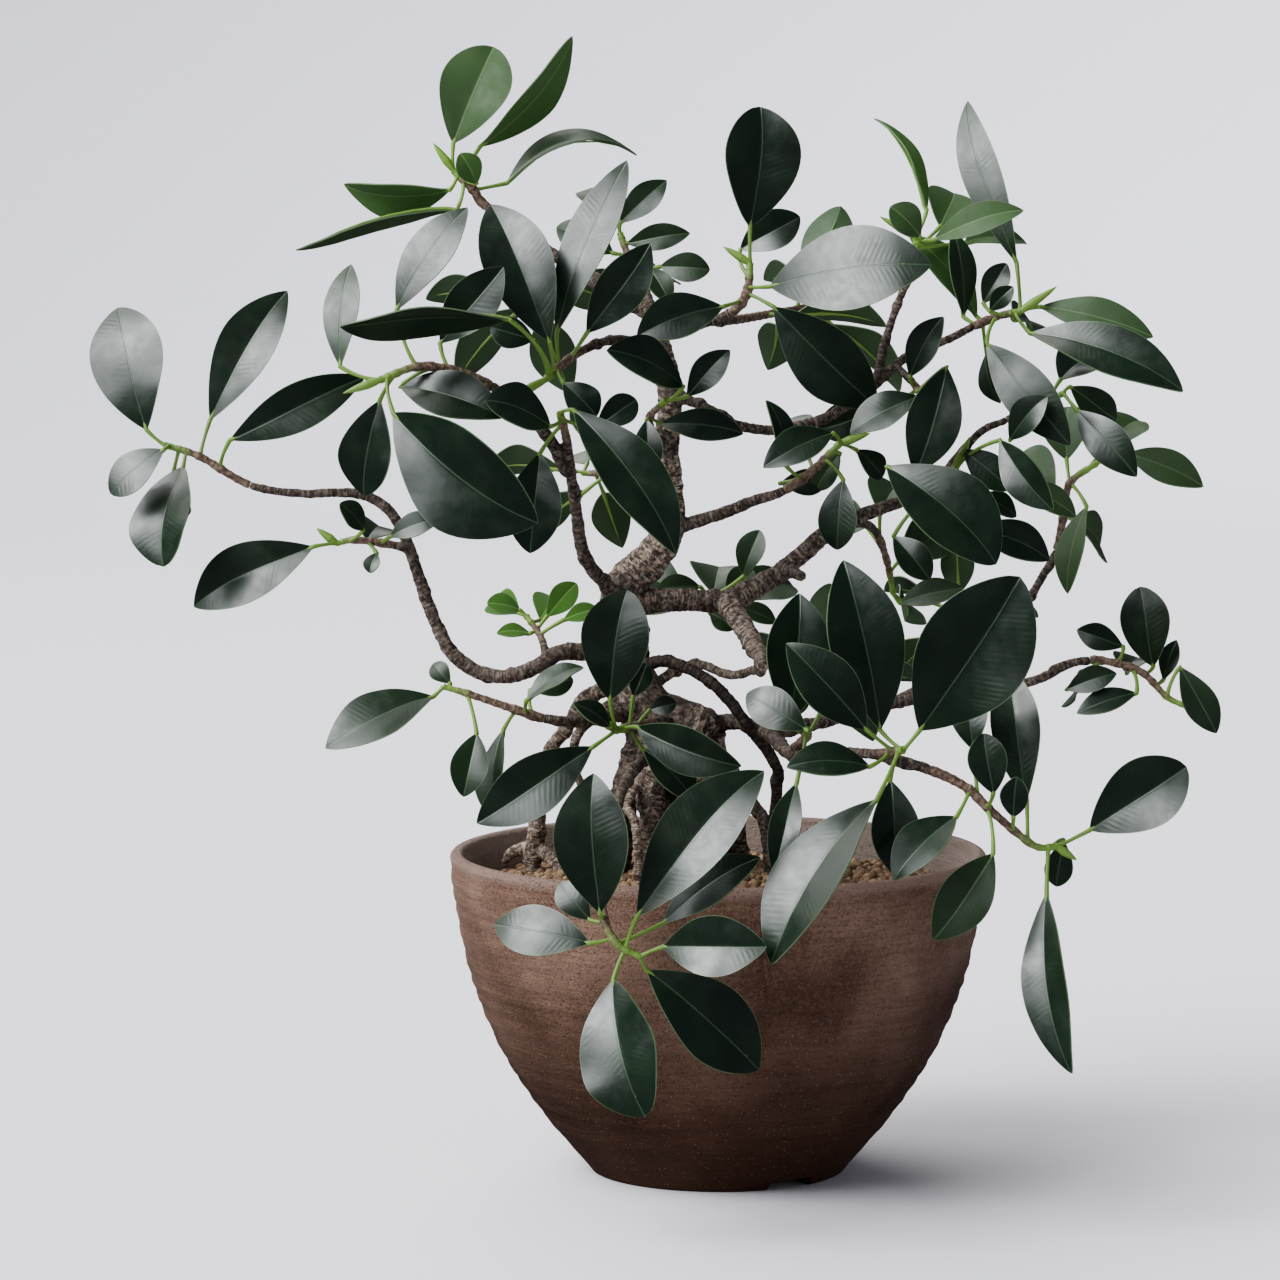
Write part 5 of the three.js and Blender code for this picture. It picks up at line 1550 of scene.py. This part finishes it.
def read_leaves(stem, route, number, random):
    """The leaves that were read one by one, each with its seeded sway."""
    draw = draws(SWAY_SEED + number)
    rows = stem.get("leaves", []) + stem.get("tiny", [])
    parts = []
    for index, (place, base, tip, width, turn, *arch) in enumerate(rows):
        depth = tip_depth(base, tip, turn, (2 * next(draw) - 1) * SWAY)
        low, high = seen(base), seen((tip[0], tip[1], depth))
        tone = stem.get("tones", {}).get(index, stem["tone"])
        face = facing(low, high, turn, (2 * next(draw) - 1) * SWAY_TURN)
        fold = FOLD * (LIT_FOLD if turn is LIT else 1)
        parts += leaf(on_route(route, place), low, high, width, face, *(arch or [ARCH]),
                      tone=tone, random=random, fold=fold)
    return parts


def bud(end, tip):
    """A pointed bud that swells from the end of its shoot."""
    points = [end.lerp(tip, share) for share in BUD_SHARES]
    return tube(points, [radius * MM for radius in BUD_RADII], SHOOT_SIDES, material=1)


def shoot(stem, route):
    """The green end of a stem, thicker where a leaf starts and at each scar, and its bud."""
    radii = [radius * MM for radius in stem["radii"]]
    points, sizes, places = eased(route, radii, SHOOT_STEP * MM)
    kept = [index for index, place in enumerate(places) if place >= stem["bark"]]
    starts = [row[0] for row in stem.get("leaves", [])]
    grown = []
    for number, index in enumerate(kept):
        near = min((abs(places[index] - start) for start in starts), default=1)
        swollen = NODE_SWELLING * math.exp(-((near / NODE_REACH) ** 2))
        ring = (number * SHOOT_STEP / SCAR_PITCH) % 1.0
        swollen += SCAR_SWELLING * max(0.0, 1 - abs(ring - 0.5) / SCAR_HALF)
        grown.append(sizes[index] * (1 + swollen))
    tone = SHOOT_TONE + (1 - SHOOT_TONE) * stem["tone"]
    parts = [tube([points[index] for index in kept], grown, SHOOT_SIDES, material=1)]
    tint(parts[0], tone, all_green=False)
    if "bud" in stem:
        parts.append(bud(route[-1], seen(stem["bud"])))
        tint(parts[1], tone)
    return parts


def leafy_stem(name, stem, number):
    """One piece: a stem's green shoot, its bud and its leaves with their stalks."""
    random = draws(LEAF_SEED + LEAF_SEED_STEP * number)
    route = [seen(place) for place in stem["route"]]
    parts = shoot(stem, route) + read_leaves(stem, route, number, random)
    if "rule" in stem:
        parts += leaves_by_rule(route, stem["rule"], stem["tone"], random)
    piece = finished(name.replace("leaves", "spray"), joined(parts), LEAF, SHOOT)
    piece.data.set_sharp_from_angle(angle=SHARP_BLADE)
    return dress(piece, "foliage", name)


# Wood

def wood_limbs():
    """Every limb and woody twig: its eased points, radii and shade."""
    limbs = []
    for limb in WOOD.values():
        route = [seen(place) for place in limb["route"]]
        if limb.get("roots"):
            foot = len(route) - 1 if limb["route"][0][1] > limb["route"][-1][1] else 0
            route[foot].z = ROOT_DEPTH * MM
        radii = [radius * MM for radius in limb["radii"]]
        points, sizes, _ = eased(route, radii, TWIG_STEP * MM)
        limbs.append((points, sizes, limb.get("shade", TWIG_SHADE)))
    for stem in LEAFY_STEMS.values():
        route = [seen(place) for place in stem["route"]]
        radii = [radius * MM for radius in stem["radii"]]
        points, sizes, places = eased(route, radii, TWIG_STEP * MM)
        kept = [index for index, place in enumerate(places) if place <= stem["bark"]]
        twig = [points[index] for index in kept]
        limbs.append((twig, [sizes[index] for index in kept], TWIG_SHADE))
    return limbs


def limb_samples(limbs):
    """A tree of points along the limbs, and for each its radius, distance and shade. The
    distances of two limbs are LIMB_APART or more apart."""
    facts = []
    spots = []
    start = 0.0
    for points, sizes, shade in limbs:
        gone = start
        for index, point in enumerate(points):
            if index:
                gone += (point - points[index - 1]).length / MM
            spots.append(point)
            facts.append((sizes[index] / MM, gone, shade))
        start = gone + LIMB_APART
    tree = KDTree(len(spots))
    for index, spot in enumerate(spots):
        tree.insert(spot, index)
    tree.balance()
    return tree, facts


def along_limb(spot, tree, facts):
    """The radius, distance along its limb and shade at a place, smooth between samples."""
    (_, first, near), (_, second, far) = tree.find_n(spot, 2)
    radius, gone, shade = facts[first]
    other_radius, other_gone, _ = facts[second]
    if abs(other_gone - gone) < LIMB_APART:
        step = (other_gone - gone) * MM
        share = limited(0.5 + (near * near - far * far) / (2 * step * step))
        gone += (other_gone - gone) * share
        radius += (other_radius - radius) * share
    return radius, gone, shade


def melted(limbs):
    """The limbs melted together into one body of wood."""
    parts = [tube(points, sizes, WOOD_SIDES) for points, sizes, _ in limbs]
    wood = finished("wood", joined(parts), BARK)
    melt = wood.modifiers.new("Melt", "REMESH")
    melt.mode = "VOXEL"
    melt.voxel_size = WOOD_VOXEL * MM
    ease = wood.modifiers.new("Ease", "SMOOTH")
    ease.factor = 0.5
    ease.iterations = 3
    return settled(wood)


def bark_relief(place, radius, along):
    """The relief at a place of the wood: its age from 0, young, to 1, old, the depth of its
    ring crack from 0 to 1, and how far the bark stands out in millimetres."""
    spot = place / MM
    age = limited((radius - TWIG_RADIUS) / AGEING)
    ring = along / (RING_PITCH + RING_WIDENING * radius)
    ring += RING_DRIFT * noise.noise(Vector((along * DRIFT_WAVES, 0, 0)))
    ring += RING_TILT * noise.noise(spot * TILT_WAVES)
    middle = abs(ring % 1.0 - 0.5)
    patches = noise.noise(spot * CRACK_WAVES + Vector((7, 3, 1)))
    crack = max(0.0, 1 - middle / RING_HALF) * limited(0.5 + CRACK_CONTRAST * patches)
    ridge = max(0.0, 1 - abs(middle - RING_RIDGE) / RING_HALF)
    lumps = noise.fractal(spot * LUMP_WAVES, 0.8, 2.0, 4)
    lumps *= LUMP_HEIGHT + OLD_LUMP_HEIGHT * age
    flakes = noise.noise(spot * FLAKE_WAVES) * FLAKE_HEIGHT * (LEAST_FLAKES + age)
    knots = noise.noise(spot * KNOT_WAVES + Vector((3, 9, 5)))
    knots = max(0.0, knots - KNOT_START) * KNOT_HEIGHT
    cut = crack * (CRACK_DEPTH + OLD_CRACK_DEPTH * age)
    return age, crack, lumps + flakes + knots - cut + ridge * RIDGE_HEIGHT


def mark_seams(bm, along, seam):
    """Marks where two limbs meet, because their distances along jump there."""
    for vert in bm.verts:
        here = vert[along]
        for edge in vert.link_edges:
            if abs(edge.other_vert(vert)[along] - here) > 2 * TWIG_STEP:
                vert[seam] = 1.0


def tree_wood(limbs, samples):
    """One body of wood: the limbs melted together, then cut by cracks, rings and scars."""
    wood = melted(limbs)
    bm = bmesh.new()
    bm.from_mesh(wood.data)
    layer = {name: bm.verts.layers.float.new(name)
             for name in ("young", "scar_and_crack_shade", "shade", "along", "seam")}
    bm.normal_update()
    moves = []
    for vert in bm.verts:
        radius, along, shade = along_limb(vert.co, *samples)
        age, crack, height = bark_relief(vert.co, radius, along)
        vert[layer["young"]] = 1 - age
        # The depth of the ring crack, which the bark darkens partly as painted shade
        vert[layer["scar_and_crack_shade"]] = crack
        vert[layer["shade"]] = shade
        vert[layer["along"]] = along
        moves.append(vert.normal * height * MM)
    mark_seams(bm, layer["along"], layer["seam"])
    for vert, move in zip(bm.verts, moves):
        vert.co += move
    bm.to_mesh(wood.data)
    bm.free()
    wood.modifiers.new("Thin", "DECIMATE").ratio = WOOD_KEPT
    settled(wood)
    wood.data.shade_smooth()
    return dress(wood, "bark", "tree_wood")


# Pot and soil

def curve_through(pairs, step):
    """Height and radius pairs as a smooth run of closely set pairs."""
    route = [Vector((height, radius, 0)) for height, radius in pairs]
    points, _, _ = eased(route, [0] * len(route), step)
    return [(point.x, point.y) for point in points]


def throwing_ridges(height):
    """How far the thrower's fingers left the pot's side proud, in millimetres."""
    return sum(rise * math.sin(2 * math.pi * height / pitch + wander * math.sin(height * pace))
               for rise, pitch, wander, pace in RIDGES)


def pot_profile():
    """The pot's radius and height, up its outside, over its lip and down to the foot's inside."""
    profile = [(FOOT_RADIUS + out, height) for out, height in FOOT_OUTSIDE]
    below_lip = POT_HEIGHT - LIP_DEPTH
    lip_side = POT_HEIGHT - LIP_RISE
    outside = WALL_OUTSIDE + [(below_lip, MOUTH_RADIUS - LIP_FLARE), (lip_side, MOUTH_RADIUS)]
    for height, radius in curve_through(outside, OUTSIDE_STEP):
        fade = min((height - WALL_OUTSIDE[0][0]) / FOOT_FADE, (POT_HEIGHT - height) / LIP_FADE, 1)
        profile.append((radius + throwing_ridges(height) * max(fade, 0), height))
    middle = MOUTH_RADIUS - LIP_HALF
    for step in range(1, LIP_STEPS):
        angle = math.pi * step / LIP_STEPS
        profile.append((middle + LIP_HALF * math.cos(angle), lip_side + LIP_RISE * math.sin(angle)))
    inside = [(height, radius - WALL) for height, radius in WALL_OUTSIDE if height > FLOOR_TOP]
    inside.append((below_lip, MOUTH_RADIUS - WALL + LIP_THINNING))
    for height, radius in reversed(curve_through(inside, INSIDE_STEP)):
        ridge = INSIDE_RIDGES * throwing_ridges(height + INSIDE_SHIFT)
        profile.append((radius + ridge, height))
    corner_out, corner_up = FLOOR_CORNER
    edge_out, edge_up = FOOT_EDGE
    ring = FOOT_RADIUS - FOOT_WIDTH
    drain = DRAIN_RADIUS
    return profile + [
        (FOOT_RADIUS + corner_out, FLOOR_TOP + corner_up), (FOOT_RADIUS, FLOOR_TOP),
        (FLOOR_RING, FLOOR_TOP), (drain + DRAIN_EDGE, FLOOR_TOP), (drain, FLOOR_TOP - DRAIN_EDGE),
        (drain, FOOT_HEIGHT + DRAIN_EDGE), (drain + DRAIN_EDGE, FOOT_HEIGHT),
        (FLOOR_RING, FOOT_HEIGHT), (ring - FOOT_CORNER, FOOT_HEIGHT),
        (ring, FOOT_HEIGHT - FOOT_CORNER), (ring, edge_up), (ring + edge_out, 0)]


def notch_cutter(number, angle):
    """A block with rounded long edges that cuts one drain notch into the foot ring."""
    bm = bmesh.new()
    bmesh.ops.create_cube(bm, size=1)
    size = Vector((3 * FOOT_WIDTH, NOTCH_WIDTH, 2 * NOTCH_HEIGHT)) * MM
    bmesh.ops.scale(bm, vec=size, verts=bm.verts[:])
    along = [edge for edge in bm.edges if abs((edge.verts[0].co - edge.verts[1].co).x) > MM]
    bmesh.ops.bevel(bm, geom=along, offset=NOTCH_ROUND * MM, segments=4, profile=0.5,
                    affect="EDGES", material=-1)
    turn = Matrix.Rotation(math.radians(angle), 4, "Z")
    place = Matrix.Translation(AXIS) @ turn @ Matrix.Translation((FOOT_RADIUS * MM, 0, 0))
    bmesh.ops.transform(bm, verts=bm.verts[:], matrix=place)
    return finished(f"notch_{number}", bm)


def pot():
    """The bowl, notched at its foot, with its dusty inside above the floor."""
    piece = finished("bowl", turned(pot_profile(), POT_STEPS), STONEWARE, STONEWARE_INSIDE)
    cutters = [notch_cutter(number, angle) for number, angle in enumerate(NOTCH_ANGLES)]
    for cutter in cutters:
        cut = piece.modifiers.new("Notch", "BOOLEAN")
        cut.object = cutter
        cut.operation = "DIFFERENCE"
        cut.solver = "EXACT"
    settled(piece)
    for cutter in cutters:
        bpy.data.objects.remove(cutter)
    dusty = piece.data.materials.find(STONEWARE_INSIDE.name)
    for face in piece.data.polygons:
        outwards = face.center - AXIS
        outwards.z = 0
        if face.center.z > FLOOR_TOP * MM and face.normal.dot(outwards) < 0:
            face.material_index = dusty
    piece.data.set_sharp_from_angle(angle=SHARP_CLAY)
    return dress(piece, "stoneware", "pot")


def soil_top(x, y):
    """The soil's height in millimetres: level at the wall, rising in a mound at the trunk."""
    mound = MOUND_HEIGHT * math.exp(-((x - MOUND_X) ** 2 + y ** 2) / MOUND_SPREAD ** 2)
    return SOIL_EDGE + mound


def soil_bed():
    """The soil under the loose granules, from the floor and the netting up to a rough top."""
    over_netting = FLOOR_TOP + NETTING_ROOM
    over_floor = FLOOR_TOP + SOIL_ROOM
    wall = [(radius - WALL - SOIL_ROOM, height) for height, radius in WALL_OUTSIDE
            if FLOOR_TOP < height < SOIL_EDGE]
    profile = [(0, over_netting), (NETTING_RADIUS, over_netting), (NETTING_RADIUS, over_floor),
               (FOOT_RADIUS - 1, over_floor), *wall]
    radius = SOIL_RADIUS + 0.1
    while radius > 0:
        profile.append((radius, SOIL_EDGE))
        radius -= BED_STEP
    profile.append((0, SOIL_EDGE))
    bm = turned(profile, BED_STEPS)
    shade = bm.verts.layers.float.new("tone")
    for vert in bm.verts:
        vert[shade] = BED_SHADE
        if vert.co.z > (SOIL_EDGE - 0.01) * MM:
            spot = (vert.co - AXIS) / MM
            rough = 0.5 * noise.noise(spot * 0.5)
            vert.co.z = (soil_top(spot.x, spot.y) - BED_DEPTH + rough) * MM
    return dress(finished("soil_bed", bm, GRANULES), "soil_grains", "soil")


def granule(stone, x, y, size, middle, random):
    """A lumpy copy of the stone with its own turn, stretch and shade."""
    turn = Euler([between(random, *GRAIN_TURN) for _ in range(3)]).to_matrix().to_4x4()
    stretch = [size * between(random, *GRAIN_STRETCH) * MM for _ in range(3)]
    lump = stone.copy()
    shade = lump.verts.layers.float["tone"]
    grey = next(random)
    for vert in lump.verts:
        vert[shade] = grey
        vert.co *= 1 + GRAIN_LUMPS * noise.noise(vert.co * 1.3 + Vector((x, y, size)))
    place = Matrix.Translation(middle) @ turn @ Matrix.Diagonal((*stretch, 1))
    bmesh.ops.transform(lump, matrix=place, verts=lump.verts)
    return lump


def soil_granules(samples):
    """Loose granules over the bed, kept out of the wood and off the pot."""
    tree, facts = samples
    random = draws(GRAIN_SEED)
    stone = new_part(GRAIN_LAYERS)
    bmesh.ops.create_icosphere(stone, subdivisions=2, radius=1)
    row_height = GRAIN_PITCH * math.sqrt(3) / 2
    rows = int(SOIL_RADIUS / row_height)
    columns = int(SOIL_RADIUS / GRAIN_PITCH) + 1
    lumps = []
    for row in range(-rows, rows + 1):
        for column in range(-columns, columns + 1):
            x = (column + 0.5 * (row % 2)) * GRAIN_PITCH + between(random, *GRAIN_SHIFT)
            y = row * row_height + between(random, *GRAIN_SHIFT)
            size = between(random, *GRAIN_SIZES)
            if math.hypot(x, y) > SOIL_RADIUS - GRAIN_FROM_WALL * size:
                continue
            level = soil_top(x, y) + between(random, *GRAIN_LEVEL) - GRAIN_SUNK * size
            middle = AXIS + Vector((x, y, level)) * MM
            _, index, away = tree.find(middle)
            if away / MM >= facts[index][0] + GRAIN_FROM_WOOD * size:
                lumps.append(granule(stone, x, y, size, middle, random))
    stone.free()
    piece = finished("soil_granules", joined(lumps, GRAIN_LAYERS), GRANULES)
    return dress(piece, "soil_grains")


# Camera, floor and light

def camera():
    """The camera at the viewing point, tilted down a little."""
    lens = bpy.data.cameras.new("camera")
    lens.sensor_width = SENSOR_WIDTH
    lens.lens = LENS_LENGTH
    lens.clip_start = 0.05
    lens.clip_end = 50
    stand = placed("camera", lens)
    stand.location = AXIS + VIEW_POINT * MM
    stand.rotation_euler = (math.pi / 2 - VIEW_TILT, 0, 0)
    bpy.context.scene.camera = stand


def floor():
    """Pale studio paper: a round floor whose rim curves up."""
    profile = [(0, 0), (FLOOR_RADIUS / 2, 0)]
    for step in range(CURVE_STEPS + 1):
        angle = math.pi / 2 * step / CURVE_STEPS
        profile.append((FLOOR_RADIUS - FLOOR_CURVE + FLOOR_CURVE * math.sin(angle),
                        FLOOR_CURVE - FLOOR_CURVE * math.cos(angle)))
    profile.append((FLOOR_RADIUS, FLOOR_RIM))
    piece = finished("floor", turned(profile, FLOOR_STEPS, closed=False), paper_finish())
    piece.visible_glossy = False


def sun(name, towards, strength, width, colour):
    """A distant soft light, width degrees across, that shines from a direction."""
    lamp = bpy.data.lights.new(name, "SUN")
    lamp.energy = strength
    lamp.angle = math.radians(width)
    lamp.color = colour
    stand = placed(name, lamp)
    stand.location = towards * 2
    stand.rotation_euler = (-towards).to_track_quat("-Z", "Y").to_euler()


def studio():
    """Soft studio light: a pale sky and the lights."""
    world = bpy.data.worlds.new("studio")
    world.use_nodes = True
    sky = world.node_tree.nodes["Background"]
    sky.inputs["Color"].default_value = SKY
    sky.inputs["Strength"].default_value = SKY_STRENGTH
    bpy.context.scene.world = world
    bpy.context.scene.view_settings.look = "AgX - Medium High Contrast"
    for name, light in LIGHTS.items():
        sun(name, *light)


camera()
floor()
studio()

pot()
limbs = wood_limbs()
samples = limb_samples(limbs)
tree_wood(limbs, samples)
soil_bed()
soil_granules(samples)
for number, (name, stem) in enumerate(LEAFY_STEMS.items()):
    leafy_stem(name, stem, number)

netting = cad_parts["drain_mesh"]
netting.data.materials.clear()
netting.data.materials.append(NETTING)
